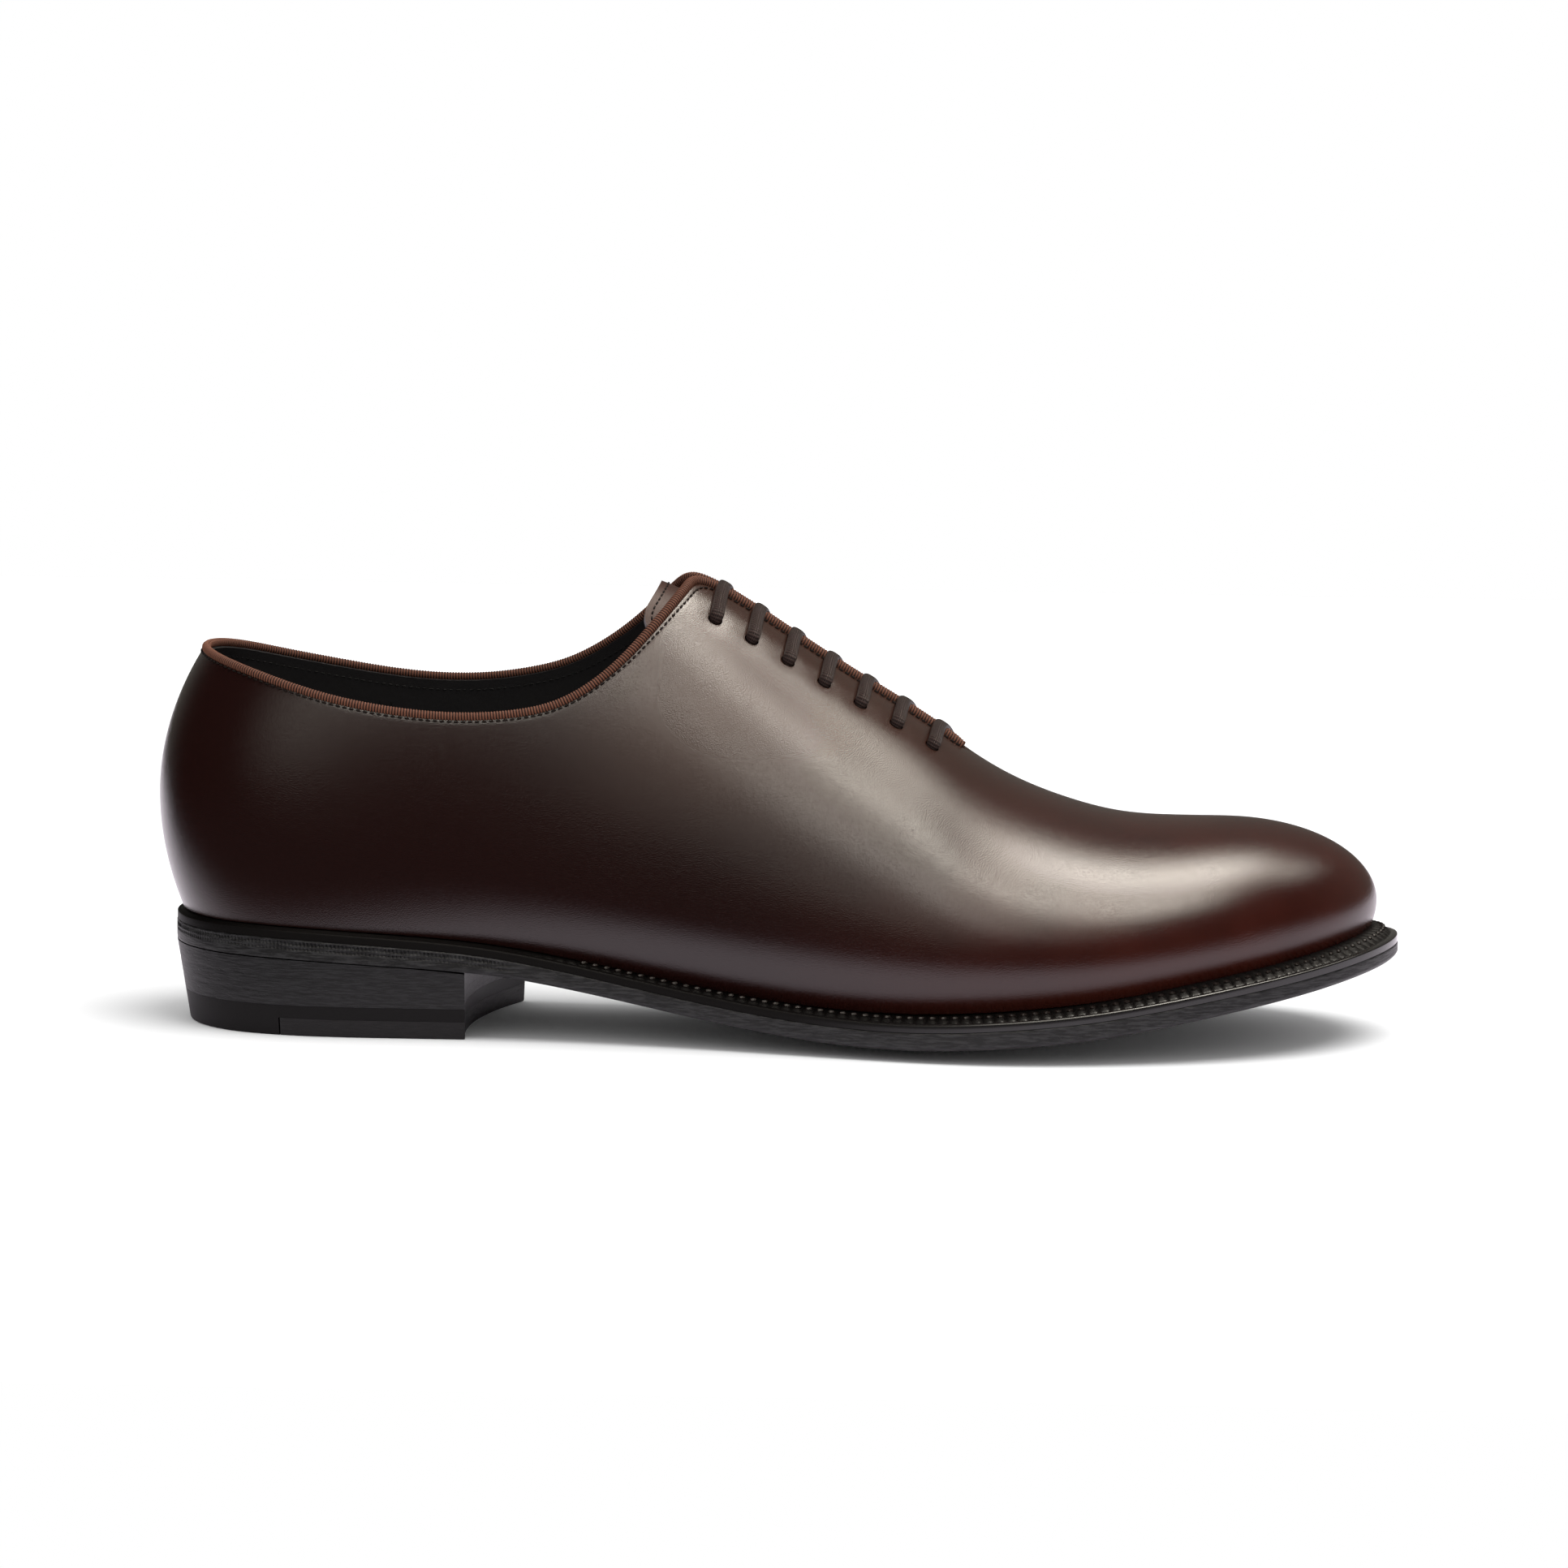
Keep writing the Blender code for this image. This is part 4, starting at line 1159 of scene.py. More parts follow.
def make_upper():
    """Leather wall and lining wall, both punched for the lace."""
    side = side_places()
    t = np.concatenate([side, 2 - side[-2:0:-1]])
    top = edge_v(t, BEAD_FOOT, -TUCK)
    is_open = (top < 1.0) | (np.roll(top, -1) < 1.0)
    holes = last(*lace_hole_places())
    cutter = hole_cutter()

    def outer_height(columns, heights):
        """Relief of the leather's face."""
        return leather_height(columns, heights, holes)

    def level_layer(rows, depth):
        """Layer at one depth under the face."""
        return layer_grid(t, top, rows, lambda columns, heights: np.full(columns.shape, -depth), depth)

    outer = layer_grid(t, top, OUTER_ROWS, outer_height, 0.0)
    hidden = level_layer(HIDDEN_ROWS, LEATHER_THICK)
    leather = punched(new_mesh("upper_leather", *wall(outer, hidden, is_open)), cutter)
    put_in("upper_leather", leather, upper_finish(), "upper_leather", "upper")
    back = level_layer(HIDDEN_ROWS, LEATHER_THICK + LINING_GAP)
    face = level_layer(LINING_ROWS, WALL)
    lining = punched(new_mesh("upper_lining", *wall(back, face, is_open)), cutter)
    put_in("upper_lining", lining, lining_finish(), "insole_leather")
    bpy.data.objects.remove(cutter)


def make_binding():
    """Ribbed bead along the open edge: a circle whose radius rises and falls along the path."""
    _, _, length = along_edge(BEAD_MIDDLE, 0.0, 2)
    ribs = int(length / RIB_PITCH)
    t, v, _ = along_edge(BEAD_MIDDLE, 0.0, ribs * RIB_STEPS + 1)
    up = outward(t, v)
    path = shifted(t, v, -bead_depth(t, v))
    heading = unit(np.gradient(path, axis=0))
    side = unit(np.cross(heading, up))
    up = np.cross(side, heading)
    turn = np.linspace(0.0, 1.0, BEAD_SIDES + 1)
    angle = turn[:-1] * 2 * np.pi
    count = np.arange(len(t)) / RIB_STEPS
    wave = 0.5 + 0.5 * np.cos(2 * np.pi * (count[:, None] + RIB_SLANT * turn[None, :-1]))
    radius = bead_radius(t, v)[:, None] - RIB_HEIGHT * (1 - wave)
    rings = (path[:, None] + (radius * np.cos(angle))[..., None] * side[:, None]
             + (radius * np.sin(angle))[..., None] * up[:, None])
    add_piece("binding_tape", tube(rings), binding_finish(), "binding_tape", "topline_binding",
              corners=grid_corners(count, turn))


def stitch_line(t, v, height, face, pitch):
    """Middles, headings and ups of stitches at an even pitch along a line on a face of the wall."""
    path = shifted(t, v, height)
    length = travelled(path)
    wanted = np.arange(pitch, length[-1] - pitch, pitch)
    t = np.interp(wanted, length, t)
    v = np.interp(wanted, length, v)
    middle = shifted(t, v, height)
    along = np.gradient(middle, axis=0)
    return middle, along, face * outward(t, v)


def lining_seam_lines():
    """t and v up each stitch row beside the lining's seams, one seam a side."""
    share = np.linspace(*LINING_SEAM_SPAN, LINING_SEAM_STEPS)
    for side in (1.0, -1.0):
        round_heel = np.linspace(0.0, side * station(0.0), LINING_SEAM_SEARCH)
        collar_x = last(round_heel, edge_v(round_heel, BEAD_FOOT, LINING_STITCH_BELOW))[:, 0]
        for aside in LINING_SEAM_ROWS:
            place = np.interp([LINING_SEAM_X + aside], collar_x, round_heel)
            yield np.repeat(place, LINING_SEAM_STEPS), share * edge_v(place, BEAD_FOOT, LINING_STITCH_BELOW)


def make_edge_stitches():
    """One row beside the binding on the leather, one under it on the lining, two beside each lining seam."""
    t, v, _ = along_edge(STITCH_BEAD_RADII, -STITCH_LESS, EDGE_LINE_STEPS)
    row = stitch_line(t, v, STITCH_RISE, 1.0, BINDING_STITCH_PITCH)
    add_piece("binding_stitches", threads(*row, BINDING_THREAD), thread_finish("edge_thread"), "lace_cord")
    t, v, _ = along_edge(BEAD_FOOT, LINING_STITCH_BELOW, EDGE_LINE_STEPS)
    rows = [stitch_line(t, v, -WALL, -1.0, BINDING_STITCH_PITCH)]
    rows += [stitch_line(*line, -WALL, -1.0, LINING_SEAM_PITCH) for line in lining_seam_lines()]
    inside = [np.concatenate(column) for column in zip(*rows)]
    add_piece("lining_stitches", threads(*inside, LINING_THREAD), thread_finish("lining_thread"), "lace_cord")


def lace_route():
    """Corners of the lace as x, distance from the ridge and height over the leather; bars go to and fro."""
    corners = []
    side = -1
    for bar in range(LACE_BARS):
        start = (lace_places(side)[bar], side * LACE_ASIDE)
        end = (lace_places(-side)[bar], -side * LACE_ASIDE)
        corners += [(*start, LACE_RUN_HEIGHT), (*start, LACE_OVER_LEATHER)]
        corners += [(*end, LACE_OVER_LEATHER), (*end, LACE_RUN_HEIGHT)]
        side = -side
    return np.array(corners)


def rounded_route(corners, radius, step):
    """Route with each corner turned by a parabola, read at even steps, with the corner number reached."""
    number = np.arange(1, len(corners) - 1)[:, None]
    corner = corners[1:-1]
    back = corners[:-2] - corner
    ahead = corners[2:] - corner
    back_share, ahead_share = (
        np.minimum(LONGEST_TURN_SHARE, radius / np.linalg.norm(leg, axis=1))[:, None]
        for leg in (back, ahead)
    )
    start = corner + back * back_share
    end = corner + ahead * ahead_share
    way = np.linspace(0.0, 1.0, TURN_STEPS)
    across = way[None, :, None]
    curve = ((1 - across) ** 2 * start[:, None] + 2 * across * (1 - across) * corner[:, None]
             + across ** 2 * end[:, None])
    reached = number - back_share * (1 - way) + ahead_share * way
    route = np.vstack([corners[:1], curve.reshape(-1, 3), corners[-1:]])
    reached = np.concatenate([[0.0], reached.reshape(-1), [len(corners) - 1.0]])
    length = travelled(route)
    wanted = np.linspace(0.0, length[-1], int(length[-1] / step))
    columns = [np.interp(wanted, length, column) for column in (*route.T, reached)]
    return np.column_stack(columns[:3]), columns[3], wanted


def squared(wave):
    """Sine or cosine of an oval, pushed out toward a rectangle's."""
    return np.sign(wave) * np.abs(wave) ** LACE_SQUARENESS


def make_lace():
    """Flat braided lace through the holes: a squared oval carried along the route.

    On a bar and in its holes the oval's width lies along the throat. Inside, between two holes, its
    thickness lies across the throat. The width's sense changes from bar to bar, so it never twists.
    """
    route, reached, along = rounded_route(lace_route(), LACE_TURN, LACE_STEP)
    t, v = at_ridge_distance(route[:, 0], route[:, 1])
    path = shifted(t, v, route[:, 2])
    normal = outward(t, v)
    heading = unit(np.gradient(path, axis=0))
    throat = np.array(THROAT_HEADING)
    throat = unit(throat - normal * (normal @ throat)[:, None])
    across = np.cross(throat, normal)
    bar = np.floor((reached + HALF_WAY_IN) / BAR_CORNERS).astype(int)
    is_inside = np.mod(reached + HALF_WAY_IN, BAR_CORNERS) < BAR_CORNERS / 2
    bar_before = np.where(is_inside, bar - 1, bar)
    sense = np.where(np.mod(bar_before, 2) == 0, 1.0, -1.0)[:, None]
    outside_width = throat - heading * (throat * heading).sum(1, keepdims=True)
    inside_width = np.cross(across, heading)
    width = sense * unit(np.where(is_inside[:, None], inside_width, outside_width))
    thick = np.cross(heading, width)
    shown = fade(route[:, 2], LACE_RUN_HEIGHT, LACE_OVER_LEATHER)[:, None]
    half_width = LACE_RUN_RADIUS + (LACE_HALF_WIDTH - LACE_RUN_RADIUS) * shown
    turn = np.linspace(0.0, 1.0, LACE_SIDES + 1)
    angle = turn[None, :-1] * 2 * np.pi
    wide = squared(np.cos(angle)) * half_width
    tall = squared(np.sin(angle)) * LACE_HALF_THICK
    rings = path[:, None] + wide[..., None] * width[:, None] + tall[..., None] * thick[:, None]
    add_piece("lace_braid", tube(rings), lace_finish(), "lace_cord", "lace",
              corners=grid_corners(along, turn))


def tongue_places(x, aside):
    """t and v of the tongue at a distance from the ridge; it leans back by the square of that distance."""
    lean = TONGUE_LEAN * (aside / TONGUE_HALF_WIDTH) ** 2
    return at_ridge_distance(x - lean, aside)


def make_tongue():
    """Sheet under the facings and the lace, its top corners quarter rounds."""
    turn = np.linspace(0.0, np.pi / 2, TONGUE_CORNER_STEPS)[:-1]
    x = np.concatenate([
        TONGUE_FROM_X + TONGUE_CORNER * (1 - np.cos(turn)),
        np.linspace(TONGUE_FROM_X + TONGUE_CORNER, TONGUE_TO_X, TONGUE_ROWS),
    ])
    share = np.linspace(-1.0, 1.0, TONGUE_ACROSS)
    from_top = np.clip((x - TONGUE_FROM_X) / TONGUE_CORNER, 0.0, 1.0)
    half = TONGUE_HALF_WIDTH - TONGUE_CORNER * (1 - np.sqrt(1 - (1 - from_top) ** 2))
    t, v = tongue_places(np.repeat(x, len(share)), (half[:, None] * share).reshape(-1))
    levels = [shifted(t, v, -depth).reshape(len(x), len(share), 3)
              for depth in (TONGUE_DEPTH, TONGUE_DEPTH + TONGUE_THICK)]
    finish = grained_finish("tongue_leather")[0]
    add_piece("tongue_leather", plate(levels), finish, "tongue_leather", "tongue")


def make_tongue_stitches():
    """Row of stitches inside the tongue's top edge and round its corners."""
    aside = np.linspace(-1.0, 1.0, TONGUE_STITCH_STEPS) * (TONGUE_HALF_WIDTH - TONGUE_STITCH_INSET)
    round_corner = np.maximum(np.abs(aside) - TONGUE_HALF_WIDTH + TONGUE_CORNER, 0.0) / TONGUE_CORNER
    corner = TONGUE_CORNER * (1 - np.sqrt(1 - round_corner ** 2))
    t, v = tongue_places(TONGUE_FROM_X + TONGUE_STITCH_INSET + corner, aside)
    line = shifted(t, v, TONGUE_STITCH_RISE - TONGUE_DEPTH)
    length = travelled(line)
    wanted = np.arange(0.0, length[-1], BINDING_STITCH_PITCH)
    middle, up = (np.column_stack([np.interp(wanted, length, column) for column in rows.T])
                  for rows in (line, outward(t, v)))
    surface = threads(middle, np.gradient(middle, axis=0), up, BINDING_THREAD)
    add_piece("tongue_stitches", surface, thread_finish("tongue_thread"), "lace_cord")


# Sole unit


def across_grid(lateral, medial, across):
    """Straight rows of points from the lateral to the medial edge."""
    share = np.linspace(0.0, 1.0, across)[None, :, None]
    return lateral[:, None, :] * (1 - share) + medial[:, None, :] * share


def sole_grid(stations, inset_of, across):
    """Plan grid inside the sole outline, z still zero."""
    lateral = sole_edge(stations, inset_of(stations))
    medial = sole_edge(2 - stations, inset_of(2 - stations))
    grid = across_grid(lateral, medial, across)
    return np.concatenate([grid, np.zeros(grid.shape[:2] + (1,))], axis=-1)


def set_height(grid, height_of):
    """Grid with z from a function of x and of the share of the way across; both tips count as edge."""
    share = np.tile(np.linspace(-1.0, 1.0, grid.shape[1]), (grid.shape[0], 1))
    share[[0, -1]] = 1.0
    flat = grid.reshape(-1, 3).copy()
    flat[:, 2] = height_of(flat[:, 0], share.reshape(-1))
    return flat.reshape(grid.shape)


def outsole_top(x):
    """Top of the outsole, a gap under the welt."""
    return table(SOLE_LINE, x)[:, 0] - WELT_EDGE_THICK - CLOSE_JOINT


def outsole_foot(x, share):
    """Underside of the outsole: crowned across and never below the floor."""
    row = table(SOLE_LINE, x)
    crown = row[:, 3] * (1 - share ** 2)
    return np.maximum(row[:, 0] - WELT_EDGE_THICK - CLEARANCE - row[:, 2] - crown, 0.0)


def outsole_rim(x):
    """Height of the underside at its edge."""
    return outsole_foot(x, np.ones(x.shape))


def seat_marks(t, below):
    """Inset of the wheel's marks on the heel seat: upright teeth in one row and dots in the next.

    Along the edge the teeth are a squared cosine and the dots its square. Both fade out past their
    height and past the heel.
    """
    fine = np.linspace(-1.0, 1.0, OUTLINE_STEPS)
    length = travelled(sole_edge(fine, 0.0))
    place = np.where(np.mod(t, 2.0) > 1.0, np.mod(t, 2.0) - 2.0, np.mod(t, 2.0))
    turn = np.interp(place, fine, length) * np.pi / SEAT_MARK_PITCH
    tooth = np.cos(turn) ** 2 * np.exp(-((below - TEETH_BELOW) / TEETH_HALF_HEIGHT) ** 4)
    dot = np.cos(turn) ** 4 * np.exp(-((below - DOTS_BELOW) / DOTS_HALF_HEIGHT) ** 2)
    at_heel = 1 - fade(sole_edge(t, 0.0)[:, 0], SEAT_MARKS_END_X - SEAT_MARKS_FADE, SEAT_MARKS_END_X)
    return SEAT_MARK_DEPTH * at_heel * (tooth + dot)


def foot_bevel(t):
    """Inset of the outsole's bottom edge, full at the forefoot and next to none over the heel."""
    forward = fade(sole_edge(t, 0.0)[:, 0], *FOOT_BEVEL_SPAN)
    return OUTSOLE_FOOT_BEVEL * (HEEL_BEVEL_SHARE + (1 - HEEL_BEVEL_SHARE) * forward)


def make_outsole():
    """Plate with a rounded top edge, an upright side, a bevelled foot and the heel seat's marks.

    The top edge is a quarter round, the foot's bevel a power of the way down.
    """
    heel = station(SEAT_MARKS_END_X)
    stations = np.concatenate([
        np.linspace(0.0, heel, OUTSOLE_HEEL_STEPS)[:-1],
        np.linspace(heel, 1.0, OUTSOLE_FORE_STEPS),
    ])

    def level(inset_of, height_of):
        """One level of the plate."""
        return set_height(sole_grid(stations, inset_of, OUTSOLE_ACROSS), height_of)

    levels = []
    for below in OUTSOLE_TOP_LEVELS:
        inset = OUTSOLE_TOP_BEVEL * (1 - math.sqrt(1 - (1 - below / OUTSOLE_TOP_BEVEL) ** 2))
        levels.append(level(lambda t: np.full(t.shape, inset), lambda x, share: outsole_top(x) - below))
    for down in np.linspace(0.0, 1.0, OUTSOLE_SIDE_LEVELS)[1:-1]:
        def side_height(x, share):
            """Height so far down the upright side."""
            low = outsole_rim(x) + OUTSOLE_FOOT_BEVEL
            return (outsole_top(x) - OUTSOLE_TOP_BEVEL) * (1 - down) + low * down

        def marks_inset(t):
            """Depth of the marks so far down the side."""
            x = sole_edge(t, 0.0)[:, 0]
            return seat_marks(t, outsole_top(x) - side_height(x, 0.0))

        levels.append(level(marks_inset, side_height))
    for over in OUTSOLE_FOOT_LEVELS:
        bevelled = (1 - over / OUTSOLE_FOOT_BEVEL) ** FOOT_BEVEL_POWER
        levels.append(level(lambda t: foot_bevel(t) * bevelled, lambda x, share: outsole_rim(x) + over))
    levels.append(level(foot_bevel, outsole_foot))
    finish = sole_edge_finish("outsole_leather")
    add_piece("outsole_leather", plate(levels), finish, "outsole_leather", "outsole")


def lip_width(foot):
    """Width of the welt's smooth lip where the upper's foot is so far in."""
    return np.minimum(LIP_WIDTH, LIP_SHARE * (foot - WELT_EDGE_INSET))


def welt_rows(t, along):
    """Inset and height over the welt's edge line, row by row: side, lip, stitch bed, part under the upper.

    The lip is a quarter round, then a low arch. The bed rises to the upper and carries one hump a
    stitch, the root of a cosine along the edge and an arch across.
    """
    x = sole_edge(t, 0.0)[:, 0]
    rise = table(SOLE_LINE, x)[:, 1]
    foot = feather_inset(t)
    lip = lip_width(foot)
    bed_start = WELT_EDGE_INSET + lip
    bed_width = foot - bed_start
    stitched = fade(x, STITCH_BED_FROM_X, STITCH_BED_FULL_X) * np.clip(bed_width / FULL_BED_WIDTH, 0.0, 1.0)
    rounding = np.minimum(LIP_ROUNDING, lip / 2)
    rows = [(np.full(t.shape, WELT_EDGE_INSET), np.full(t.shape, height)) for height in WELT_SIDE_HEIGHTS]
    for angle in np.linspace(0.0, np.pi / 2, LIP_ROUND_STEPS):
        rows.append((WELT_EDGE_INSET + rounding * (1 - math.cos(angle)), rounding * (math.sin(angle) - 1)))
    for share in LIP_SHARES:
        inset = WELT_EDGE_INSET + rounding + (lip - rounding) * share
        rows.append((inset, np.full(t.shape, LIP_HEIGHT * math.sin(math.pi * share))))
    for share in np.linspace(0.0, 1.0, BED_ROWS + 2)[1:-1]:
        turn = np.pi * (along / WELT_STITCH_PITCH + WELT_BUMP_LEAN * share)
        hump = np.sqrt(np.abs(np.cos(turn))) - WELT_BUMP_SUNK
        height = rise * share + WELT_BUMP * stitched * math.sin(math.pi * share ** WELT_BUMP_SKEW) * hump
        rows.append((bed_start + bed_width * share, height))
    inner = foot + WELT_UNDER_UPPER
    rows += [(foot, rise), (inner, rise), (inner, np.full(t.shape, -WELT_EDGE_THICK))]
    return rows


def welt_run():
    """t round the sole in fine steps, the distance there along the lip, and how many stitches fit."""
    fine = np.linspace(0.0, 2.0, OUTLINE_STEPS)
    length = travelled(sole_edge(fine, LIP_WIDTH))
    return fine, length, round(length[-1] / WELT_STITCH_PITCH)


def make_welt():
    """Ring of the welt's section all round the shoe; its pattern map counts the section's rows."""
    t = np.linspace(0.0, 2.0, WELT_COLUMNS + 1)[:-1]
    fine, length, stitches = welt_run()
    along = np.interp(t, fine, length) * stitches * WELT_STITCH_PITCH / length[-1]
    edge = table(SOLE_LINE, sole_edge(t, 0.0)[:, 0])[:, 0]
    rings = [np.column_stack([sole_edge(t, inset), edge + height]) for inset, height in welt_rows(t, along)]
    grid = np.stack(rings + rings[:1])
    surface = grid.reshape(-1, 3), grid_quads(len(grid), WELT_COLUMNS, 0, True)
    corners = grid_corners(np.arange(len(grid)), np.linspace(0.0, 1.0, WELT_COLUMNS + 1))
    add_piece("welt_strip", surface, welt_finish(), "welt_leather", "welt", corners=corners)


def make_welt_stitches():
    """Threads on the stitch bed, one to a hump, turned a little from the edge's heading."""
    fine, length, stitches = welt_run()
    place = np.interp(np.arange(stitches) * length[-1] / stitches, length, fine)
    x = sole_edge(place, 0.0)[:, 0]
    foot = feather_inset(place)
    kept = (x > STITCH_BED_FULL_X) & (foot - WELT_EDGE_INSET > NARROWEST_STITCHED)
    place, x, foot = place[kept], x[kept], foot[kept]
    lip = lip_width(foot)
    inset = WELT_EDGE_INSET + lip + WELT_THREAD_SHARE * (foot - WELT_EDGE_INSET - lip)
    row = table(SOLE_LINE, x)
    height = row[:, 0] + WELT_THREAD_SHARE * row[:, 1] + WELT_THREAD_HEIGHT * WELT_BUMP
    middle = np.column_stack([sole_edge(place, inset), height])
    ahead = sole_edge(place + TINY_T, inset) - sole_edge(place - TINY_T, inset)
    cosine, sine = math.cos(WELT_THREAD_TURN), math.sin(WELT_THREAD_TURN)
    turned = ahead @ np.array([(cosine, sine), (-sine, cosine)])
    heading = np.column_stack([turned, np.zeros(len(turned))])
    up = np.tile([0.0, 0.0, 1.0], (len(middle), 1))
    surface = threads(middle, heading, up, WELT_THREAD)
    add_piece("welt_stitches", surface, thread_finish("welt_thread"), "welt_leather")


def heel_grid(shares, height_of, extra):
    """Heel plan at a height: the sole outline tapered in, ended by the breast, a parabola across.

    Extra is inset all round; at the breast it fades in with a high power of the share.
    """
    extra = np.broadcast_to(extra, shares.shape)
    lateral_t = shares * station(np.array([HEEL_LATERAL_CORNER]))
    medial_t = 2 - shares * station(np.array([HEEL_MEDIAL_CORNER]))
    height = height_of(sole_edge(lateral_t, 0.0)[:, 0])
    inset = HEEL_TOP_INSET + HEEL_TAPER * (HEEL_SEAT - height) + extra
    grid = across_grid(sole_edge(lateral_t, inset), sole_edge(medial_t, inset), HEEL_ACROSS)
    way = np.linspace(-1.0, 1.0, HEEL_ACROSS)
    sag = HEEL_BREAST_SAG * shares ** BREAST_SAG_POWER
    grid[:, :, 0] -= sag[:, None] * (1 - way ** 2) + (extra * shares ** BREAST_INSET_POWER)[:, None]
    level = np.column_stack([height_of(column) for column in grid[:, :, 0].T])
    return np.concatenate([grid, level[:, :, None]], axis=-1)


def under_outsole(x):
    """Top of the heel, a gap under the outsole."""
    return outsole_foot(x, np.zeros(x.shape)) - CLEARANCE


def heel_shares():
    """Shares of the way from the heel's back to its breast, closer together round the back."""
    back = 1 - np.cos(np.linspace(0.0, np.pi / 2, HEEL_BACK_STEPS))
    return np.concatenate([back[:-1] * RUBBER_JOINT, np.linspace(RUBBER_JOINT, 1.0, HEEL_FRONT_STEPS)])


def make_lifts():
    """Leather lifts with a shallow groove, a bell curve, at each joint."""
    shares = heel_shares()
    foot = RUBBER_TOP + CLOSE_JOINT
    levels = []
    for down in np.linspace(0.0, 1.0, LIFT_LEVELS):
        groove = LIFT_GROOVE * np.exp(-((down - np.array(LIFT_JOINTS)) / LIFT_GROOVE_HALF) ** 2).sum()
        levels.append(heel_grid(shares, lambda x: under_outsole(x) * (1 - down) + foot * down, groove))
    add_piece("heel_lifts", plate(levels), sole_edge_finish("heel_leather"), "heel_leather", "heel_stack")


def top_piece_levels(shares, top, foot):
    """Levels of a piece of the heel's foot from a flat top to its foot, rounded where that is the floor."""
    levels = [heel_grid(shares, lambda x: np.full(x.shape, top), 0.0)]
    for lift, extra in FOOT_ROUNDS:
        inset = extra * FOOT_ROUNDING * (foot == 0)
        levels.append(heel_grid(shares, lambda x: foot + lift * FOOT_ROUNDING, inset))
    return levels


def make_heel():
    """Leather lifts, rubber top piece thick at the back, leather front piece under its thin front."""
    make_lifts()
    shares = heel_shares()
    behind, ahead = shares[shares < RUBBER_JOINT], shares[shares >= RUBBER_JOINT]
    rubber_shares = np.concatenate([behind, [RUBBER_JOINT], ahead])
    step = np.concatenate([np.zeros(len(behind) + 1), np.full(len(ahead), INSERT_TOP + CLOSE_JOINT)])
    rubber = plate(top_piece_levels(rubber_shares, RUBBER_TOP, step))
    add_piece("heel_top_piece", rubber, rubber_finish(), "heel_rubber", "heel_rubber")
    ahead[0] += INSERT_GAP_SHARE
    front = plate(top_piece_levels(ahead, INSERT_TOP, np.zeros(len(ahead))))
    add_piece("heel_front_piece", front, sole_edge_finish("insert_leather"), "insert_leather", "heel_insert")


def make_insole():
    """Flat sock on the seat, inside the wall's foot."""
    stations = np.linspace(0.0, 1.0, INSOLE_STEPS)
    plan = sole_grid(stations, lambda t: feather_inset(t) + WELT_UNDER_UPPER + CLEARANCE, INSOLE_ACROSS)
    top = set_height(plan, lambda x, share: seat_height(x) + INSOLE_THICK)
    foot = set_height(plan, lambda x, share: outsole_top(x) + CLEARANCE)
    finish = grained_finish("insole_leather")[0]
    add_piece("insole_sock", plate([top, foot]), finish, "insole_leather", "insole")


# Stage


def add_camera():
    """Camera at the photograph's angle: yawed toward the toe, tipped down, and rolled."""
    yaw, elevation, roll = CAMERA_YAW, CAMERA_ELEVATION, CAMERA_ROLL
    right = Vector((math.cos(yaw), math.sin(yaw), 0.0))
    level = Vector((-math.sin(yaw), math.cos(yaw), 0.0))
    ahead = level * math.cos(elevation) - Vector((0.0, 0.0, math.sin(elevation)))
    up = right.cross(ahead)
    rolled_right = right * math.cos(roll) + up * math.sin(roll)
    rolled_up = up * math.cos(roll) - right * math.sin(roll)
    turn = Matrix((rolled_right, rolled_up, -ahead)).transposed()
    camera = new_object("camera", bpy.data.cameras.new("camera"))
    place = (CAMERA_TARGET - ahead * CAMERA_DISTANCE) * METRE
    camera.matrix_world = Matrix.Translation(place) @ turn.to_4x4()
    camera.data.sensor_width = SENSOR
    camera.data.lens = SENSOR * CAMERA_DISTANCE / (PHOTO_PIXELS * MM_PER_PIXEL)
    camera.data.clip_end = CAMERA_CLIP
    bpy.context.scene.camera = camera


def add_plane(name, middle, size, height, facing, finish):
    """Level rectangle of the stage, in metres, facing up or down by the order of its corners."""
    corners = [(middle[0] + x * size[0] / 2, middle[1] + y * size[1] / 2, height) for x, y in facing]
    mesh = bpy.data.meshes.new(name)
    mesh.from_pydata(corners, [], [(0, 1, 2, 3)])
    mesh.materials.append(finish)
    plane = new_object(name, mesh)
    return plane


def add_floor():
    """White table under the shoe. In reflections its colour is painted dark in front and on the heel's side,
    painted shade standing in for unlit floor.

    Each dark side is a smooth step along its slant, and the two are multiplied.
    """
    finish, tree, shader = new_finish("floor")
    shine = 1.0
    for slant, dark, lit in MIRRORED_FLOOR:
        reach = along_heading(tree, object_place(tree), slant)
        shine = product(tree, spread(tree, reach, dark, lit), shine)
    # painted shade of the floor, seen only in reflections
    reflected = mixed(tree, shine, *MIRRORED_COLOURS)
    is_mirrored = node(tree, "ShaderNodeLightPath").outputs["Is Glossy Ray"]
    tree.links.new(mixed(tree, is_mirrored, FINISHES["floor"][0], reflected), shader.inputs["Base Color"])
    add_plane("floor", FLOOR_MIDDLE, FLOOR_SIZE, 0.0, FACING_UP, finish)


def add_sun():
    """Soft distant light that whitens the whole floor; the leather doesn't mirror it."""
    sun = new_object("floor_light", bpy.data.lights.new("floor_light", "SUN"))
    sun.data.energy = SUN_STRENGTH
    sun.data.angle = SUN_WIDTH
    source = Vector(SUN_PLACE)
    turn = (-source).to_track_quat("-Z", "Y").to_matrix().to_4x4()
    sun.matrix_world = Matrix.Translation(source) @ turn
    sun.visible_glossy = False


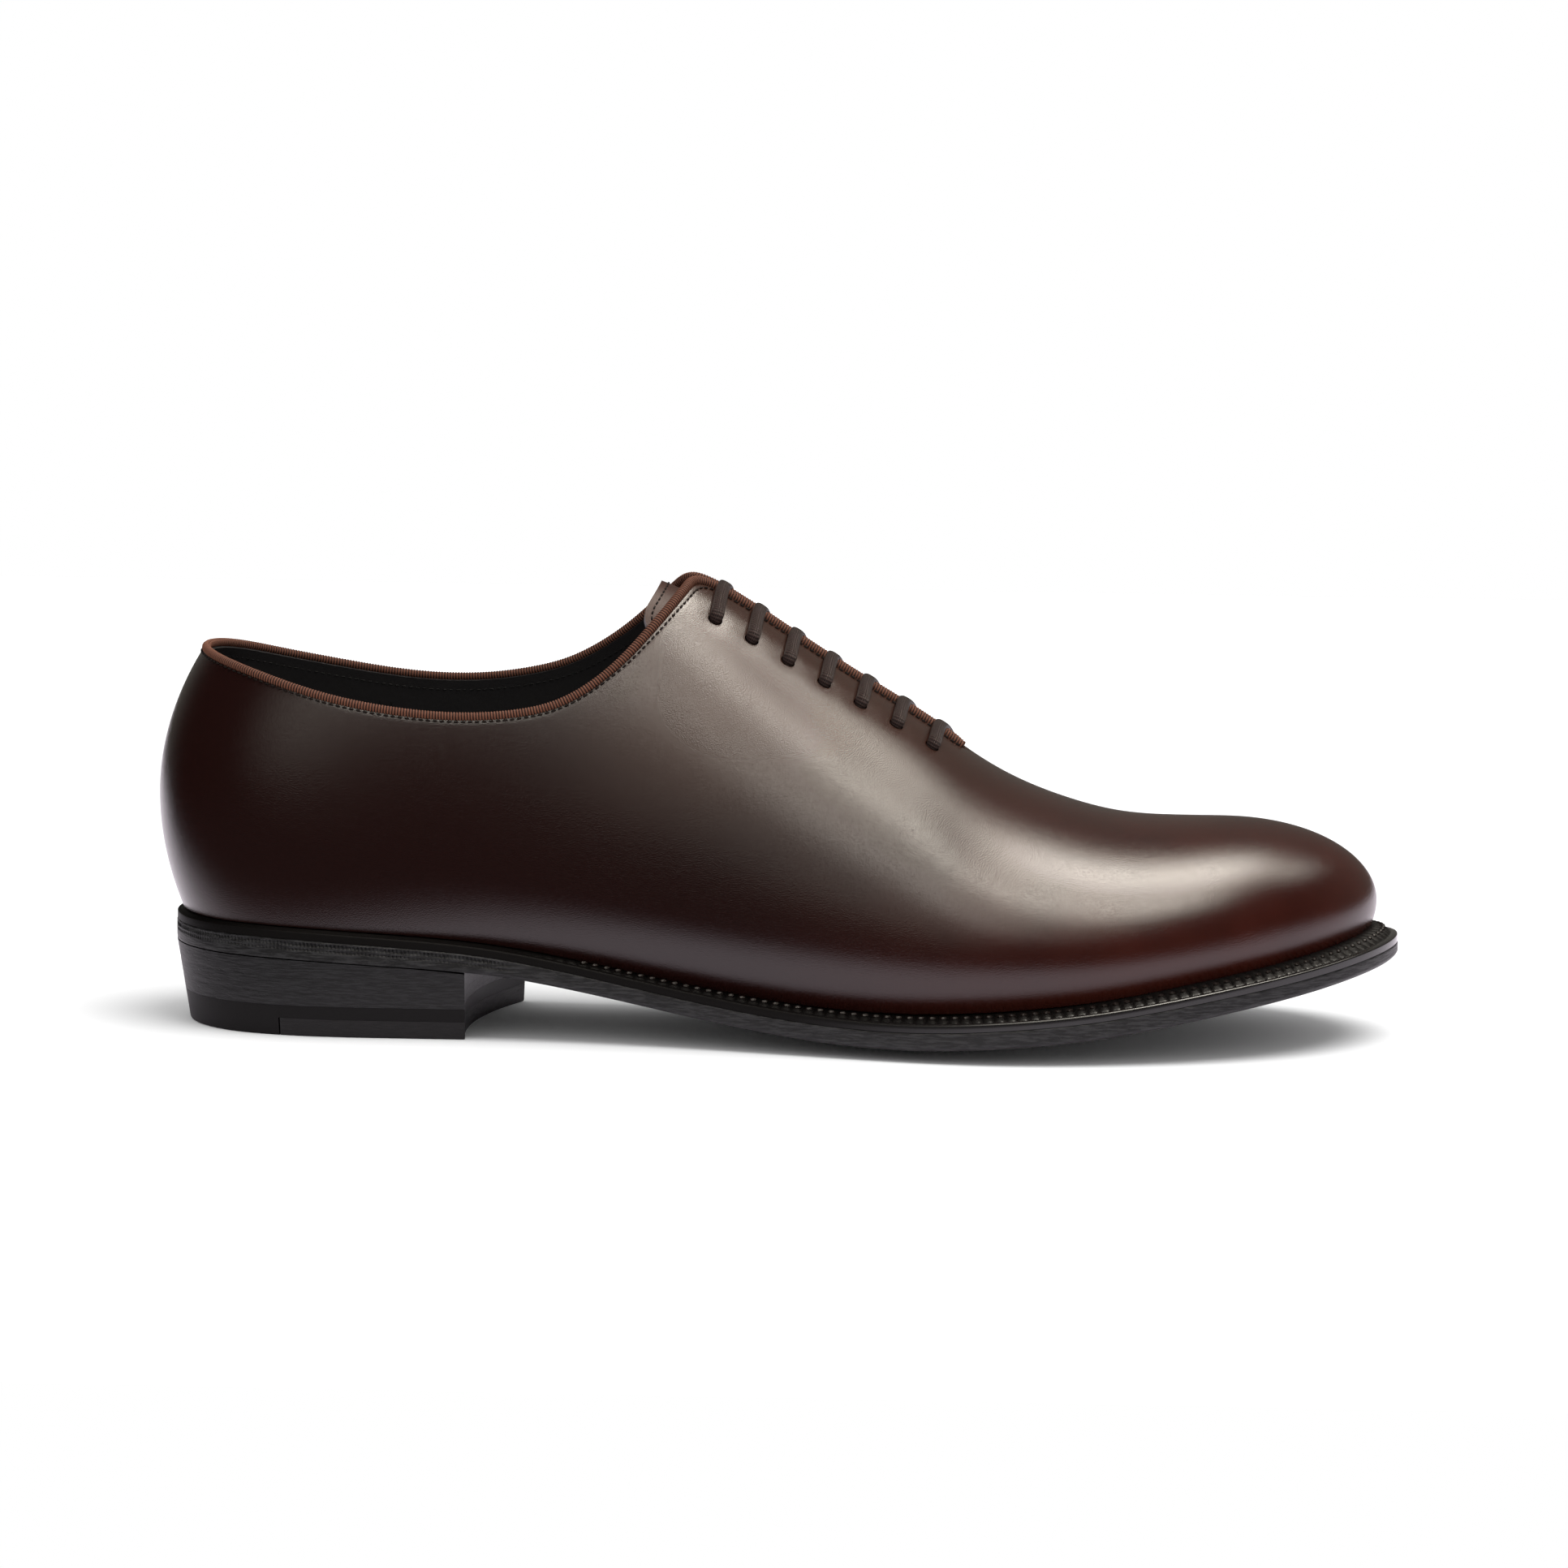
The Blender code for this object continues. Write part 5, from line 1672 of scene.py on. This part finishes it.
def add_softbox(name, middle, size, radiance):
    """Softbox over the shoe, seen in reflections alone: even in the middle, faded toward its edges.

    The fade is a smooth step of the distance to the edge, across times along.
    """
    finish, tree, shader = new_finish(name, "softbox")
    axes = parts(tree, object_place(tree))
    strength = radiance
    for axis, centre, width in zip("XY", middle, size):
        aside = math_node(tree, "ABSOLUTE", math_node(tree, "SUBTRACT", axes[axis], centre))
        lit = spread(tree, aside, width / 2, width / 2 * (1 - SOFTBOX_FADE))
        strength = product(tree, lit, strength)
    tree.links.new(strength, shader.inputs["Emission Strength"])
    box = add_plane(name, middle, size, SOFTBOX_HEIGHT, FACING_DOWN, finish)
    box.visible_camera = False
    box.visible_diffuse = False
    box.visible_shadow = False


def room_shine(tree, heading):
    """Brightness of the room in reflections, by heading: a window toward the camera and a dim back wall.

    Each is a smooth step of a part of the heading, the window a product of three.
    """
    axes = parts(tree, heading)
    window = WINDOW_SHINE
    for axis, (dark, lit) in WINDOW_SPREADS.items():
        window = product(tree, spread(tree, axes[axis], dark, lit), window)
    nearness = along_heading(tree, heading, BACK_HEADING)
    return total(tree, window, spread(tree, nearness, *BACK_SPREAD, *BACK_SHINE))


def add_room():
    """Room that is white to the camera, even for matt light, and dim in reflections but for its window."""
    world = bpy.data.worlds.new("room")
    world.use_nodes = True
    tree = world.node_tree
    ray = node(tree, "ShaderNodeLightPath").outputs
    matt = product(tree, ray["Is Diffuse Ray"], ROOM_LIGHT)
    heading = node(tree, "ShaderNodeTexCoord").outputs["Generated"]
    shine = product(tree, ray["Is Glossy Ray"], room_shine(tree, heading))
    background = tree.nodes["Background"]
    strength = total(tree, total(tree, matt, shine), ray["Is Camera Ray"])
    tree.links.new(strength, background.inputs["Strength"])
    colour = mixed(tree, ray["Is Glossy Ray"], (1.0, 1.0, 1.0), LIGHT_COLOUR)
    tree.links.new(colour, background.inputs["Color"])
    bpy.context.scene.world = world


add_camera()
add_floor()
add_sun()
for box_name, box_setting in SOFTBOXES.items():
    add_softbox(box_name, *box_setting)
add_room()
bpy.context.scene.view_settings.view_transform = "Standard"

make_upper()
make_binding()
make_edge_stitches()
make_lace()
make_tongue()
make_tongue_stitches()
make_insole()
make_welt()
make_welt_stitches()
make_outsole()
make_heel()
